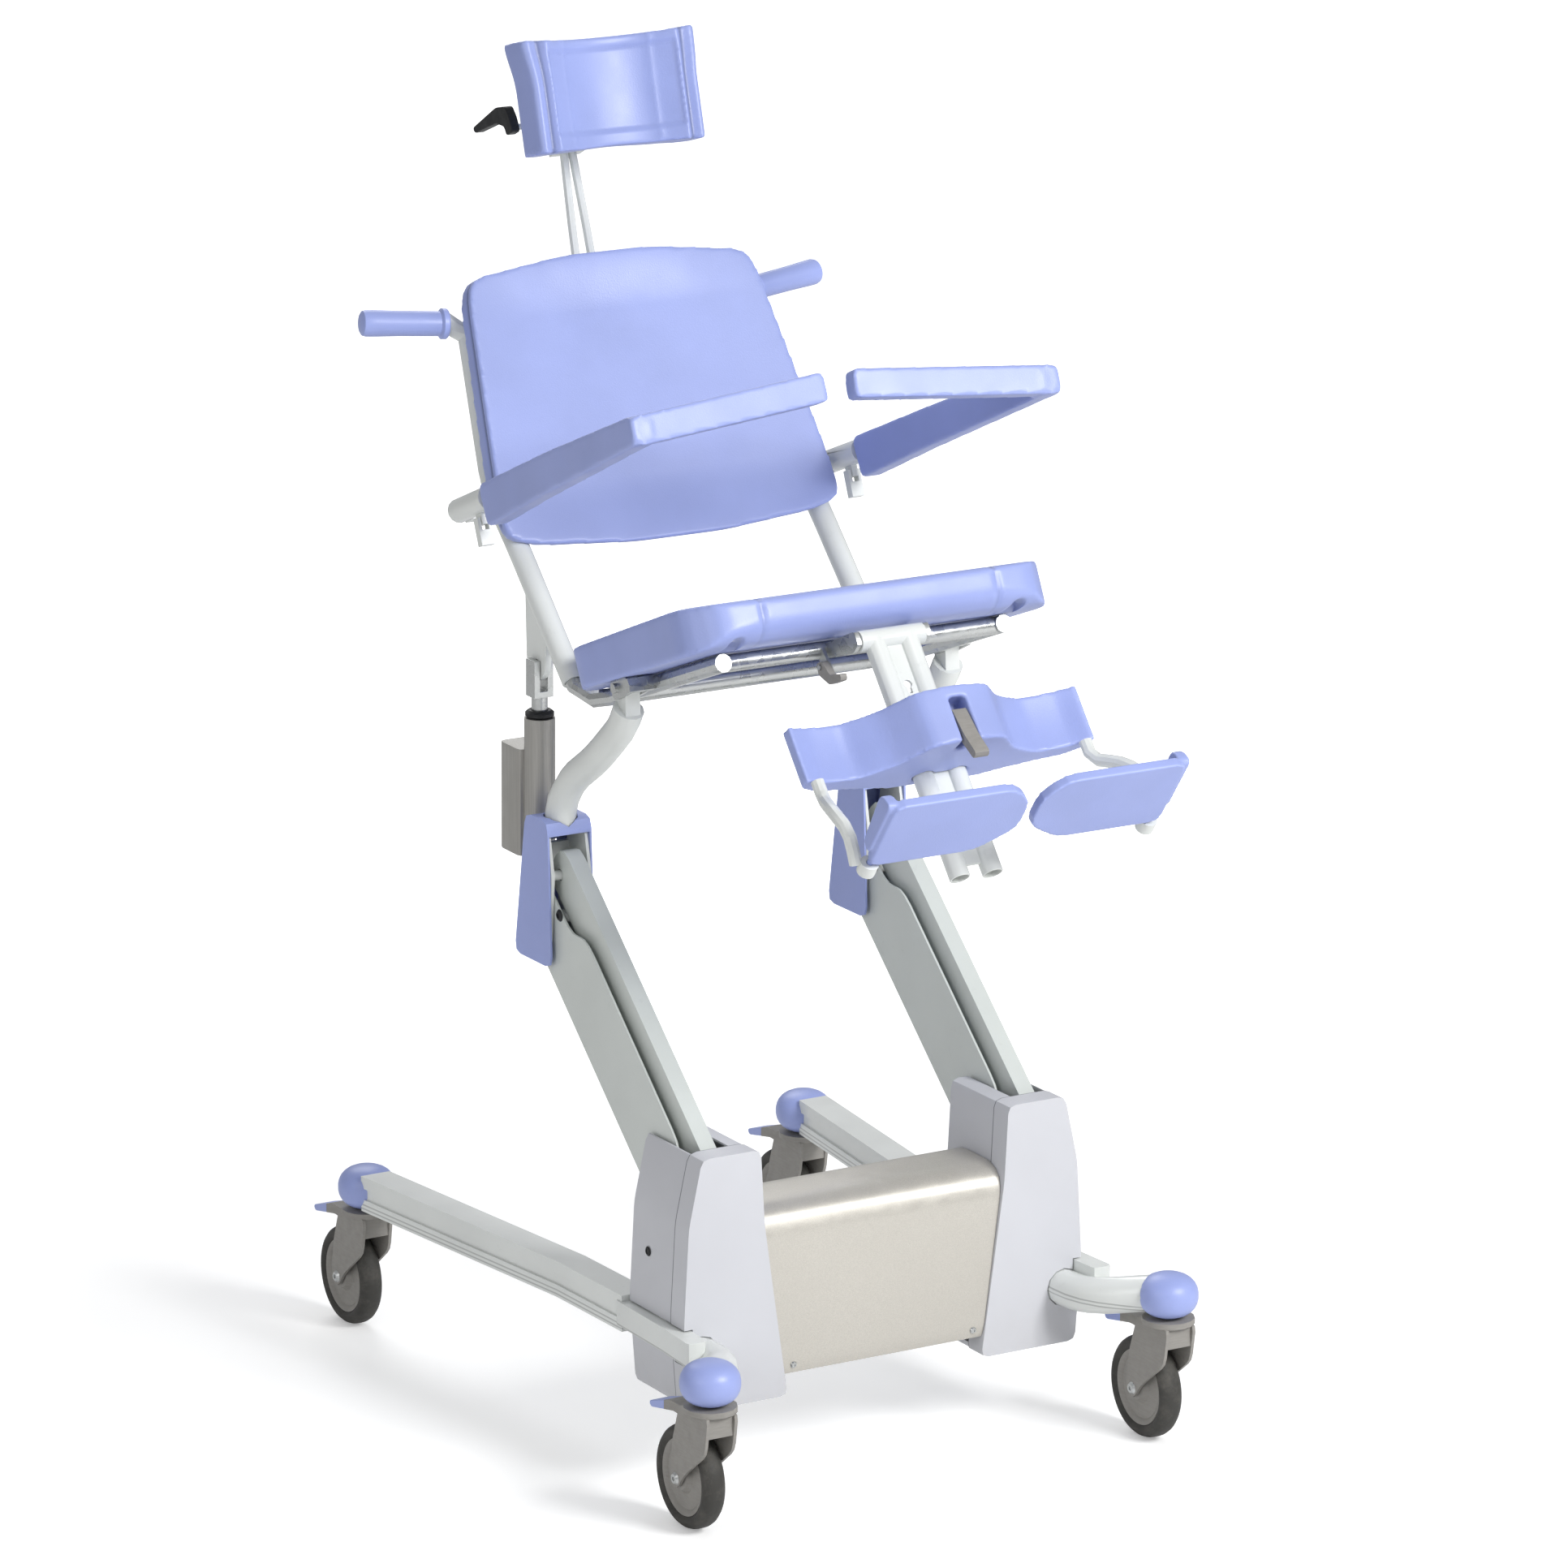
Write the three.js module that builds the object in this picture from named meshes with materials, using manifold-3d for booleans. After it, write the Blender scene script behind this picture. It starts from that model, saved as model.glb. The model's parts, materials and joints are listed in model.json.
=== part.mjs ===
// Height-adjustable, tilting hygiene chair on a four-caster base.
// Millimetres, +Z up. The occupant faces -Y, so the occupant's left is +X.
// The finished group is centred on the middle of the base of its box.
import * as THREE from "three";
import { mergeVertices } from "three/addons/utils/BufferGeometryUtils.js";
import Module from "manifold-3d";

const wasm = await Module();
wasm.setup();

// ---------- driving sizes ----------
const GAP = 0.3; // between pieces that touch
const SIDES = [
  ["left", 1],
  ["right", -1],
];

// casters
const WHEEL_D = 125;
const WHEEL_W = 30;
const WHEEL_TRAIL = 46; // wheel axle behind the swivel axis
const AXLE_R = 6;
const STEM_R = 7;
const FORK_CHEEK = 4;
const TRACK = 628; // between the left and right swivel axes
const WHEELBASE = 856; // between the front and rear swivel axes
const CAP_Z = 190; // centre of the blue caps
const CAP_R = 36;
const CAP_H = 54;
const PEDAL_HINGE = { y: 28, z: 143 };
const PEDAL_PIN_R = 3;

// base
const HOUSING_FRONT_Y = -297;
const HOUSING_SPLIT_Y = -264;
const HOUSING_REAR_Y = -165;
const HOUSING_WALL = 3;
const HOUSING_BOTTOM = 103;
const HOUSING_TOP = 412;
const LEG_W = 40;
const LEG_H = 45;
const BAR_W = 25; // the narrower bar beside the housing
const BAR_H = 30;
const ELBOW_R = 22.5; // tube that carries a front caster
const COVER_WALL = 3;
const COVER_TOP = 336;
const BEAM_TOP = 166;

// lift arms: two links a side, hinged at the base and at the carriage
const ARM_X = 219; // centre plane of a lift arm
const ARM_W = 44;
const ARM_WALL = 3;
const ARM_LENGTH = 440; // between pivots
const ARM_ANGLE = 41.4; // above the horizontal, at rest
const ARM_BACK = 40; // rear edge behind the line of its pivots
const ARM_FRONT = 65;
const ARM_STEP = 39; // lower walls beside the link pins
const LINK_W = 22;
const LINK_BACK = 22;
const LINK_FRONT = 33;
const LINK_OFFSET = 60; // between the two lower pivots
const LINK_LEAN = 17; // lean of the line through them
const LOWER_PIVOT = { y: -235, z: 314.6 };
const SHAFT_R = 15;
const PIN_R = 8;
const LINK_PIN_R = 6;
const OPEN_PIVOT_GAP = 1; // play at the upper end of a parallel link

// carriage
const SHELL_W = 60;
const SHELL_WALL = 2.5;
const PLATE = 4;
const PLATE_GAP = 1; // between an arm and the plates beside it
const POST_R = 19; // S-shaped seat post
const TILT_PIVOT = { y: -71, z: 926 };
const TILT_PIN_R = 6;
const EYE_R = 15;
const EYE_W = 20;
const LUG = 5;

// tilt actuator, on the right-hand side only
const ACTUATOR_X = -209;
const ACTUATOR_PIN = { y: 166, z: 640 };
const ROD_PIN = { y: 222, z: 77 }; // in the seat's level frame
const CYLINDER_R = 19;
const CYLINDER_L = 196;
const ROD_R = 10;
const ROD_PIN_R = 5;
const ROD_SLACK = 5; // play of the rod pin in its bracket

// seat unit, drawn level from the tilt pivot
const SEAT_TILT = 26;
const SEAT_W = 492;
const SEAT_FRONT = -246;
const SEAT_REAR = 187;
const UNDERSIDE = { y: -200, z: -10.5, rise: 0.0952 };
const RAIL_X = 190;
const RAIL_R = 11;
const BACK_TUBE_R = 14;
const BACK_TUBE_BEND = 24; // at the middle of the tube
const BACK_TUBE_X = 209;
const BACK_TUBE_TOP = { x: 186, y: 252, z: 511 }; // where a back tube turns outwards
const HANDLE_END = { y: 270, z: 530 };
const BACK_W_LOW = 466;
const BACK_W_TOP = 396;
const BACK_LOW_Z = 226;
const BACK_TOP_Z = 556;
const CROSS_TUBE = { y: 257, z: 496 };
const CROSS_TUBE_R = 11;
const GRIP_R = 16;
const GRIP_START = 212;
const GRIP_END = 317;

// armrests, drawn along their own turning axis
const ARMREST_ROOT = new THREE.Vector3(258, 159, 277);
const ARMREST_CORNER = new THREE.Vector3(276, -274, 245);
const ARMREST_W = 26;
const ARMREST_H = 35;
const CROSSBAR_L = 258;
const CROSSBAR_DEPTH = 25;
const SOCKET_R = 15;
const SOCKET_L = 92;
const SPIGOT_R = 9;
const LATCH = { y: 32, z: -23 };

// headrest
const HEAD_ROD_R = 5.5;
const HEAD_ROD_X = 11;
const HEAD_LINE = { y: 269, z: 580, slope: -0.1527 };
const HEAD_HINGE = { y: 228, z: 742 };
const HEAD_LEVER_X = 74; // inner face of the clamp lever
const HEAD_LEVER_W = 12;
const HEAD_W = 236;
const HEAD_H = 132;
const HEAD_PAD = { y: 124, z: 748, lean: 10.7 };

// leg rest, drawn with its tubes upright from its hinge
const LEG_HINGE = { y: -243, z: -28 };
const LEG_ANGLE = 13;
const LEG_TUBE_R = 12.5;
const LEG_TUBE_X = 22;
const LEG_TUBE_L = 309;
const LEVER_HINGE = { y: -188, z: -42 }; // of the leg rest's release lever
const LEG_HUB = 43; // half the width of the hinge hub
const LEG_PIN_R = 5;
const CALF_TOP = -108;
const CALF_H = 70;
const CALF_W = 392;
const HANGER_R = 8;
const FOOT = { y: -100, z: -316, slope: 14.3 };
const FOOT_L = 103;
const FOOT_T = 12;
const FOOT_INNER = 8;
const FOOT_OUTER = 200;
const FOOT_HINGE = { x: 186, z: 9 };
const FOOT_PIN_R = 4;

// ---------- finishes ----------
const finish = (color, roughness, metalness) => ({ color, roughness, metalness });
const BLUE = finish(0x97a4df, 0.42, 0);
const WHITE_PLASTIC = finish(0xcfd1d6, 0.4, 0);
const CREAM = finish(0xc9c5ba, 0.3, 0.35);
const WHITE_METAL = finish(0xd9dcd9, 0.35, 0.2);
const GREY_METAL = finish(0xa9aaa6, 0.4, 0.4);
const STEEL = finish(0x8f9194, 0.35, 0.8);
const CASTER_GREY = finish(0x7a7873, 0.5, 0);
const TYRE = finish(0x4a4846, 0.8, 0);
const BLACK = finish(0x2a2b2e, 0.5, 0);

// ---------- solids ----------
const rad = THREE.MathUtils.degToRad;

function toSolid(geometry) {
  const bare = geometry.clone();
  bare.deleteAttribute("normal");
  bare.deleteAttribute("uv");
  const merged = mergeVertices(bare, 1e-4);
  return new wasm.Manifold(
    new wasm.Mesh({
      numProp: 3,
      vertProperties: Float32Array.from(merged.attributes.position.array),
      triVerts: Uint32Array.from(merged.index.array),
    }),
  );
}

function toGeometry(solid) {
  const mesh = solid.getMesh();
  const geometry = new THREE.BufferGeometry();
  geometry.setAttribute("position", new THREE.BufferAttribute(mesh.vertProperties, 3));
  geometry.setIndex(new THREE.BufferAttribute(mesh.triVerts, 1));
  geometry.computeVertexNormals();
  return geometry;
}

const join = (...pieces) => toGeometry(pieces.map(toSolid).reduce((a, b) => a.add(b)));
const cut = (piece, ...tools) =>
  toGeometry(tools.map(toSolid).reduce((a, b) => a.subtract(b), toSolid(piece)));
const common = (a, b) => toGeometry(toSolid(a).intersect(toSolid(b)));

function block(x0, x1, y0, y1, z0, z1) {
  const box = new THREE.BoxGeometry(Math.abs(x1 - x0), y1 - y0, z1 - z0);
  return box.translate((x0 + x1) / 2, (y0 + y1) / 2, (z0 + z1) / 2);
}

// Turns a solid drawn on x, y and extruded along z so that it lies along the named axis.
const LIE_ALONG = {
  x: new THREE.Matrix4().set(0, 0, 1, 0, 1, 0, 0, 0, 0, 1, 0, 0, 0, 0, 0, 1),
  y: new THREE.Matrix4().set(1, 0, 0, 0, 0, 0, -1, 0, 0, 1, 0, 0, 0, 0, 0, 1),
  z: new THREE.Matrix4(),
};

// An outline with its corners rounded, given in the plane across the axis:
// [y, z] along x, [x, z] along y and [x, y] along z.
function outline(points, radius = 0) {
  const shape = new THREE.Shape();
  const corners = points.map(([a, b]) => new THREE.Vector2(a, b));
  corners.forEach((corner, i) => {
    const before = corners[(i + corners.length - 1) % corners.length];
    const after = corners[(i + 1) % corners.length];
    const reach = (other) => Math.min(radius, corner.distanceTo(other) * 0.45);
    const start = corner.clone().lerp(before, reach(before) / corner.distanceTo(before));
    const end = corner.clone().lerp(after, reach(after) / corner.distanceTo(after));
    if (i === 0) shape.moveTo(start.x, start.y);
    else shape.lineTo(start.x, start.y);
    if (radius > 0) shape.quadraticCurveTo(corner.x, corner.y, end.x, end.y);
  });
  shape.closePath();
  return shape;
}

function prism(axis, points, from, to, radius = 0, curveSegments = 2) {
  const depth = Math.abs(to - from);
  const shape = outline(points, radius);
  const solid = new THREE.ExtrudeGeometry(shape, { depth, bevelEnabled: false, curveSegments });
  solid.applyMatrix4(LIE_ALONG[axis]);
  const low = Math.min(from, to);
  if (axis === "x") return solid.translate(low, 0, 0);
  if (axis === "y") return solid.translate(0, low + depth, 0);
  return solid.translate(0, 0, low);
}

// A round bar along an axis, centred on the other two coordinates.
function round(axis, radius, from, to, [a, b], sides = 14) {
  const length = Math.abs(to - from);
  const bar = new THREE.CylinderGeometry(radius, radius, length, sides);
  bar.rotateX(Math.PI / 2);
  bar.applyMatrix4(LIE_ALONG[axis]);
  const middle = (from + to) / 2;
  if (axis === "x") return bar.translate(middle, a, b);
  if (axis === "y") return bar.translate(a, middle, b);
  return bar.translate(a, b, middle);
}

// A bore that clears a round bar of the given radius all round.
const bore = (axis, radius, from, to, centre, clear = GAP, sides = 14) =>
  round(axis, (radius + clear) / Math.cos(Math.PI / sides), from, to, centre, sides);

// A round bar that follows straight runs with its corners rounded.
function bentBar(points, radius, bend, steps, sides = 12) {
  const stops = points.map((p) => new THREE.Vector3(...p));
  const path = new THREE.CurvePath();
  let last = stops[0];
  for (let i = 1; i < stops.length - 1; i++) {
    const [before, corner, after] = [stops[i - 1], stops[i], stops[i + 1]];
    const reach = Math.min(bend, corner.distanceTo(before) * 0.48, corner.distanceTo(after) * 0.48);
    const enter = corner.clone().lerp(before, reach / corner.distanceTo(before));
    const leave = corner.clone().lerp(after, reach / corner.distanceTo(after));
    path.add(new THREE.LineCurve3(last, enter));
    path.add(new THREE.QuadraticBezierCurve3(enter, corner, leave));
    last = leave;
  }
  path.add(new THREE.LineCurve3(last, stops[stops.length - 1]));
  const ring = new THREE.Shape();
  for (let i = 0; i < sides; i++) {
    const turn = (2 * Math.PI * i) / sides;
    const [x, y] = [radius * Math.cos(turn), radius * Math.sin(turn)];
    if (i === 0) ring.moveTo(x, y);
    else ring.lineTo(x, y);
  }
  ring.closePath();
  return new THREE.ExtrudeGeometry(ring, { steps, extrudePath: path, bevelEnabled: false });
}

const straightBar = (from, to, radius, sides = 12) => bentBar([from, to], radius, 0, 1, sides);

// The same solid on the other side of the middle plane.
function mirrored(geometry) {
  const flat = geometry.index ? geometry.toNonIndexed() : geometry.clone();
  const at = flat.attributes.position;
  const twin = new Float32Array(at.array.length);
  for (let i = 0; i < at.count; i += 3) {
    [0, 2, 1].forEach((from, to) => {
      twin[(i + to) * 3] = -at.getX(i + from);
      twin[(i + to) * 3 + 1] = at.getY(i + from);
      twin[(i + to) * 3 + 2] = at.getZ(i + from);
    });
  }
  const copy = new THREE.BufferGeometry();
  copy.setAttribute("position", new THREE.BufferAttribute(twin, 3));
  copy.computeVertexNormals();
  return copy;
}

const forSide = (geometry, side) => (side > 0 ? geometry : mirrored(geometry));

function piece(name, geometry, look) {
  const mesh = new THREE.Mesh(geometry, new THREE.MeshStandardMaterial(look));
  mesh.name = name;
  return mesh;
}

function pivot(name, x, y, z, turn = 0) {
  const group = new THREE.Group();
  group.name = name;
  group.position.set(x, y, z);
  group.rotation.x = rad(turn);
  return group;
}

// ---------- places worked out from the driving sizes ----------
const at = (p) => [p.y, p.z];
const along = { y: Math.cos(rad(ARM_ANGLE)), z: Math.sin(rad(ARM_ANGLE)) };
const armPoint = (from, s, t) => [
  from.y + s * along.y - t * along.z,
  from.z + s * along.z + t * along.y,
];
const upper = (p) => ({ y: p.y + ARM_LENGTH * along.y, z: p.z + ARM_LENGTH * along.z });
const LINK_LOW = {
  y: LOWER_PIVOT.y - LINK_OFFSET * Math.sin(rad(LINK_LEAN)),
  z: LOWER_PIVOT.z + LINK_OFFSET * Math.cos(rad(LINK_LEAN)),
};
const ARM_HIGH = upper(LOWER_PIVOT);
const LINK_HIGH = upper(LINK_LOW);
const armInner = ARM_X - ARM_W / 2;
const armOuter = ARM_X + ARM_W / 2;
const plateInner = armInner - PLATE_GAP - PLATE;
const plateOuter = armOuter + PLATE_GAP;
const plateEnd = plateOuter + PLATE;
const PLATES = [plateInner, plateOuter];

// Edges of a housing, as [x, z].
const HOUSING_INNER_EDGE = [
  [134, HOUSING_BOTTOM],
  [154, 241],
  [165, 320],
  [170, HOUSING_TOP],
];
const HOUSING_OUTER_EDGE = [
  [249, HOUSING_TOP],
  [267, 330],
  [274, 210],
  [266, HOUSING_BOTTOM],
];

const LEG_PLAN = [
  [TRACK / 2, WHEELBASE / 2 - 23],
  [266, -10],
  [262, -162],
];
const BAR_PLAN = [
  [272, -150],
  [274, -264],
  [279, -338],
];
const ELBOW_ROUTE = [
  [250, HOUSING_SPLIT_Y - 4, CAP_Z - 18],
  [250, -346, CAP_Z - 16],
  [TRACK / 2 - 13, 15 - WHEELBASE / 2, CAP_Z],
];

const ribbon = (plan, half, extra = 0) => {
  const ends = plan.map(([x, y], i) => [x, y, i === plan.length - 1 ? extra : 0]);
  const inner = ends.map(([x, y, e]) => [x - half, y - e]);
  const outer = ends.map(([x, y, e]) => [x + half, y - e]).reverse();
  return [...inner, ...outer];
};

const legBar = (m = 0) =>
  prism("z", ribbon(LEG_PLAN, LEG_W / 2 + m, m), CAP_Z - LEG_H / 2 - m, CAP_Z + LEG_H / 2 + m);
const narrowBar = (m = 0) =>
  prism("z", ribbon(BAR_PLAN, BAR_W / 2 + m, m), CAP_Z - BAR_H / 2 - m, CAP_Z + BAR_H / 2 + m, 6);
const elbowBar = (m = 0) => bentBar(ELBOW_ROUTE, ELBOW_R + m, 60, 8, 12);

// ---------- base ----------
function baseFrame() {
  const beam = block(-plateEnd, plateEnd, HOUSING_SPLIT_Y + 6, -205, HOUSING_BOTTOM + 12, BEAM_TOP);
  const plateProfile = [
    [HOUSING_SPLIT_Y + 6, BEAM_TOP - 10],
    [-205, BEAM_TOP - 10],
    [LOWER_PIVOT.y + 30, LOWER_PIVOT.z],
    [LINK_LOW.y + 14, LINK_LOW.z + 13],
    [LINK_LOW.y - 13, LINK_LOW.z + 13],
    [HOUSING_SPLIT_Y - 4, LOWER_PIVOT.z],
  ];
  const parts = [beam];
  for (const side of [1, -1]) {
    for (const x of PLATES) parts.push(prism("x", plateProfile, side * x, side * (x + PLATE), 8));
    parts.push(round("x", LINK_PIN_R, side * plateInner, side * plateEnd, at(LINK_LOW)));
    const pad = [side * plateOuter, side * (BAR_PLAN[0][0] - BAR_W / 2 - GAP)];
    parts.push(block(...pad, -255, -212, CAP_Z - BAR_H / 2, CAP_Z + BAR_H / 2));
  }
  return cut(join(...parts), bore("x", SHAFT_R, -ARM_X - 50, ARM_X + 50, at(LOWER_PIVOT)));
}

function housingOutline(inset) {
  const inner = HOUSING_INNER_EDGE.map(([x, z]) => [x + inset, z]);
  const outer = HOUSING_OUTER_EDGE.map(([x, z]) => [x - inset, z]);
  for (const edge of [inner, outer]) {
    for (const point of edge) {
      if (point[1] === HOUSING_BOTTOM) point[1] += inset;
      if (point[1] === HOUSING_TOP) point[1] -= inset;
    }
  }
  return [...outer, ...inner];
}

function housingFront() {
  const rear = HOUSING_SPLIT_Y - GAP / 2;
  const shell = prism("y", housingOutline(0), HOUSING_FRONT_Y, rear, 10);
  const inside = prism("y", housingOutline(HOUSING_WALL), HOUSING_FRONT_Y + HOUSING_WALL, 0, 8);
  return cut(shell, inside, elbowBar(1), narrowBar(1.5));
}

function housingSide() {
  const start = HOUSING_SPLIT_Y + GAP / 2;
  const rear = HOUSING_REAR_Y;
  const shell = prism("y", housingOutline(0.8), start, rear, 10);
  const hollow = housingOutline(0.8 + HOUSING_WALL);
  const inside = prism("y", hollow, start - 1, rear - HOUSING_WALL, 8);
  const armWay = block(armInner - 3, armOuter + 3, start - 1, rear + 1, 232, HOUSING_TOP + 9);
  const shaftWay = round("x", SHAFT_R + 3, 120, ARM_X, at(LOWER_PIVOT));
  const beamWay = block(120, ARM_X, HOUSING_SPLIT_Y - 1, -202, HOUSING_BOTTOM + 10, BEAM_TOP + 2);
  return cut(shell, inside, armWay, shaftWay, beamWay, legBar(2), narrowBar(1.5), elbowBar(1));
}

// Rear leg, the narrower bar beside the housing and the front elbow, welded together.
function sideMember() {
  const groove = 3;
  const tools = [-1, 1].map((face) => {
    const edge = LEG_PLAN.map(([x, y]) => [x + face * (LEG_W / 2 + 5 - groove), y]);
    return prism("z", ribbon(edge, 5, 10), CAP_Z - 7, CAP_Z + 7);
  });
  return join(cut(legBar(), ...tools), narrowBar(), elbowBar());
}

function frontCover() {
  const section = (inset) => [
    [HOUSING_FRONT_Y + 2 + inset, HOUSING_BOTTOM + 4 - 4 * inset],
    [HOUSING_FRONT_Y + 5 + inset, COVER_TOP - inset],
    [HOUSING_REAR_Y - 6 - inset, COVER_TOP - inset],
    [HOUSING_REAR_Y - inset, HOUSING_BOTTOM + 4 - 4 * inset],
  ];
  const hoop = cut(
    prism("x", section(0), -ARM_X, ARM_X, 40, 5),
    prism("x", section(COVER_WALL), -ARM_X - 1, ARM_X + 1, 37, 5),
    block(-ARM_X - 1, ARM_X + 1, HOUSING_FRONT_Y - 5, HOUSING_REAR_Y + 5, 0, HOUSING_BOTTOM + 9),
  );
  const edge = HOUSING_INNER_EDGE.map(([x, z]) => [x - GAP - 0.2, z]);
  const face = [...edge, ...edge.map(([x, z]) => [-x, z]).reverse()];
  return common(hoop, prism("y", face, HOUSING_FRONT_Y - 10, 0));
}

const battery = () =>
  block(-112, 112, HOUSING_REAR_Y - COVER_WALL - 32, HOUSING_REAR_Y - COVER_WALL - 7, 130, 290);

// Worm gearmotor that turns the lift shaft.
function liftMotor() {
  const gearbox = block(-30, 30, -262, -209, BEAM_TOP + GAP, COVER_TOP - COVER_WALL - 2);
  const motor = round("x", 24, 30, 112, [-236, 236], 16);
  return cut(join(gearbox, motor), bore("x", SHAFT_R, -60, 60, at(LOWER_PIVOT)));
}

// ---------- lift linkage ----------
function liftArm() {
  const end = ARM_BACK;
  const reach = ARM_LENGTH;
  const profile = [
    [-end, -ARM_BACK],
    [reach + end, -ARM_BACK],
    [reach + end, ARM_STEP],
    [reach - 50, ARM_STEP],
    [reach - 74, ARM_FRONT],
    [66, ARM_FRONT],
    [45, ARM_STEP],
    [-end, ARM_STEP],
  ].map(([s, t]) => armPoint(LOWER_PIVOT, s, t));
  const hollow = [
    [-end - 30, ARM_WALL - ARM_BACK],
    [reach + end + 30, ARM_WALL - ARM_BACK],
    [reach + end + 30, ARM_FRONT + 30],
    [-end - 30, ARM_FRONT + 30],
  ].map(([s, t]) => armPoint(LOWER_PIVOT, s, t));
  const channel = cut(
    prism("x", profile, armInner, armOuter, 26, 3),
    prism("x", hollow, armInner + ARM_WALL, armOuter - ARM_WALL),
  );
  const boss = round("x", SHAFT_R + 6, armInner, armOuter, at(LOWER_PIVOT));
  return cut(
    join(channel, boss),
    bore("x", SHAFT_R, 0, ARM_X + 60, at(LOWER_PIVOT)),
    bore("x", PIN_R, 0, ARM_X + 60, at(ARM_HIGH)),
  );
}

function parallelLink() {
  const profile = [
    [-LINK_BACK, -LINK_BACK],
    [ARM_LENGTH + LINK_BACK, -LINK_BACK],
    [ARM_LENGTH + LINK_BACK, LINK_FRONT],
    [-LINK_BACK, LINK_FRONT],
  ].map(([s, t]) => armPoint(LINK_LOW, s, t));
  return cut(
    prism("x", profile, ARM_X - LINK_W / 2, ARM_X + LINK_W / 2, LINK_BACK, 3),
    bore("x", LINK_PIN_R, 0, ARM_X + 60, at(LINK_LOW)),
    bore("x", LINK_PIN_R, 0, ARM_X + 60, at(LINK_HIGH), OPEN_PIVOT_GAP),
  );
}

// ---------- carriage ----------
const SHELL_LOW = ARM_HIGH.z - 54;
const SHELL_TOP = ARM_HIGH.z + 126;
const WEB_Z = SHELL_TOP - 17;
const POST_Y = ARM_HIGH.y;

function carriageShell(side) {
  const [x0, x1] = [ARM_X - SHELL_W / 2, ARM_X + SHELL_W / 2];
  const [lowRear, topRear] = [ARM_HIGH.y + 62, ARM_HIGH.y + 33];
  const slant = (lowRear - topRear) / (SHELL_TOP - SHELL_LOW);
  const profile = (m) => [
    [ARM_HIGH.y - 29 + m, SHELL_LOW - 40 * m],
    [lowRear - m + 40 * m * slant, SHELL_LOW - 40 * m],
    [topRear - m, SHELL_TOP - m],
    [ARM_HIGH.y - 22 + m, SHELL_TOP - m],
  ];
  const shell = prism("x", profile(0), x0, x1, 14);
  const hollow = prism("x", profile(SHELL_WALL), x0 + SHELL_WALL, x1 - SHELL_WALL, 12);
  const front = [x0 + SHELL_WALL, x1 - SHELL_WALL, ARM_HIGH.y - 60, ARM_HIGH.y];
  const tools = [
    hollow,
    block(...front, SHELL_LOW - 9, WEB_Z - 2),
    bore("z", POST_R, SHELL_LOW, SHELL_TOP + 50, [ARM_X, POST_Y], 1.5),
  ];
  if (side < 0) {
    const slot = [-ACTUATOR_X - 6, -ACTUATOR_X + 6, ARM_HIGH.y + 10, ARM_HIGH.y + 90];
    tools.push(block(...slot, ACTUATOR_PIN.z - 24, ACTUATOR_PIN.z + 52));
  }
  return cut(shell, ...tools);
}

// Bracket inside the shell, and the S-shaped post that stands on it.
function seatPost(side) {
  const profile = [
    [ARM_HIGH.y - 20, ARM_HIGH.z - 28],
    [ARM_HIGH.y + 22, ARM_HIGH.z - 28],
    [ARM_HIGH.y + 31, ARM_HIGH.z + 60],
    [ARM_HIGH.y + 22, WEB_Z + 6],
    [ARM_HIGH.y - 16, WEB_Z + 6],
    [LINK_HIGH.y - 10, LINK_HIGH.z],
  ];
  const plates = PLATES.map((x) => prism("x", profile, x, x + PLATE, 6));
  const web = block(plateInner, plateEnd, ARM_HIGH.y - 15, ARM_HIGH.y + 20, WEB_Z, WEB_Z + 6);
  const pins = [
    round("x", PIN_R, plateInner, plateEnd, at(ARM_HIGH)),
    round("x", LINK_PIN_R, plateInner, plateEnd, at(LINK_HIGH)),
  ];
  const route = [
    [ARM_X, POST_Y, WEB_Z + 2],
    [ARM_X, POST_Y - 2, SHELL_TOP + 14],
    [ARM_X, POST_Y - 31, SHELL_TOP + 52],
    [ARM_X, POST_Y - 90, SHELL_TOP + 89],
    [ARM_X, TILT_PIVOT.y + 12, TILT_PIVOT.z - 51],
    [ARM_X, TILT_PIVOT.y - 3, TILT_PIVOT.z - 26],
  ];
  const post = bentBar(route, POST_R, 40, 14, 12);
  const eyeX = [ARM_X - EYE_W / 2 + GAP, ARM_X + EYE_W / 2 - GAP];
  const neck = [
    [TILT_PIVOT.y - 14, TILT_PIVOT.z - 34],
    [TILT_PIVOT.y + 13, TILT_PIVOT.z - 34],
    [TILT_PIVOT.y + 12, TILT_PIVOT.z],
    [TILT_PIVOT.y - 12, TILT_PIVOT.z],
  ];
  const parts = [...plates, web, ...pins, post, prism("x", neck, ...eyeX)];
  parts.push(round("x", EYE_R, ...eyeX, at(TILT_PIVOT)));
  if (side < 0) {
    const bridge = [ARM_HIGH.y + 22, ARM_HIGH.y + 30];
    const lug = [
      [bridge[0], ACTUATOR_PIN.z + 16],
      [ACTUATOR_PIN.y - 20, ACTUATOR_PIN.z - 8],
      [ACTUATOR_PIN.y - 8, ACTUATOR_PIN.z - 10],
      [ACTUATOR_PIN.y + 10, ACTUATOR_PIN.z - 7],
      [ACTUATOR_PIN.y + 10, ACTUATOR_PIN.z + 9],
      [ACTUATOR_PIN.y - 16, ACTUATOR_PIN.z + 12],
      [bridge[0] + 4, ACTUATOR_PIN.z + 34],
    ];
    const [lugLow, lugHigh] = [-ACTUATOR_X - 4, -ACTUATOR_X + 4];
    parts.push(block(plateInner, plateEnd, ...bridge, ACTUATOR_PIN.z + 15, ACTUATOR_PIN.z + 52));
    parts.push(prism("x", lug, lugLow, lugHigh));
    parts.push(round("x", ROD_PIN_R, lugLow - 9, lugHigh + 9, at(ACTUATOR_PIN), 16));
  }
  const frame = join(...parts);
  return cut(frame, bore("x", TILT_PIN_R, 0, ARM_X + 60, at(TILT_PIVOT), GAP, 16));
}

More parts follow.
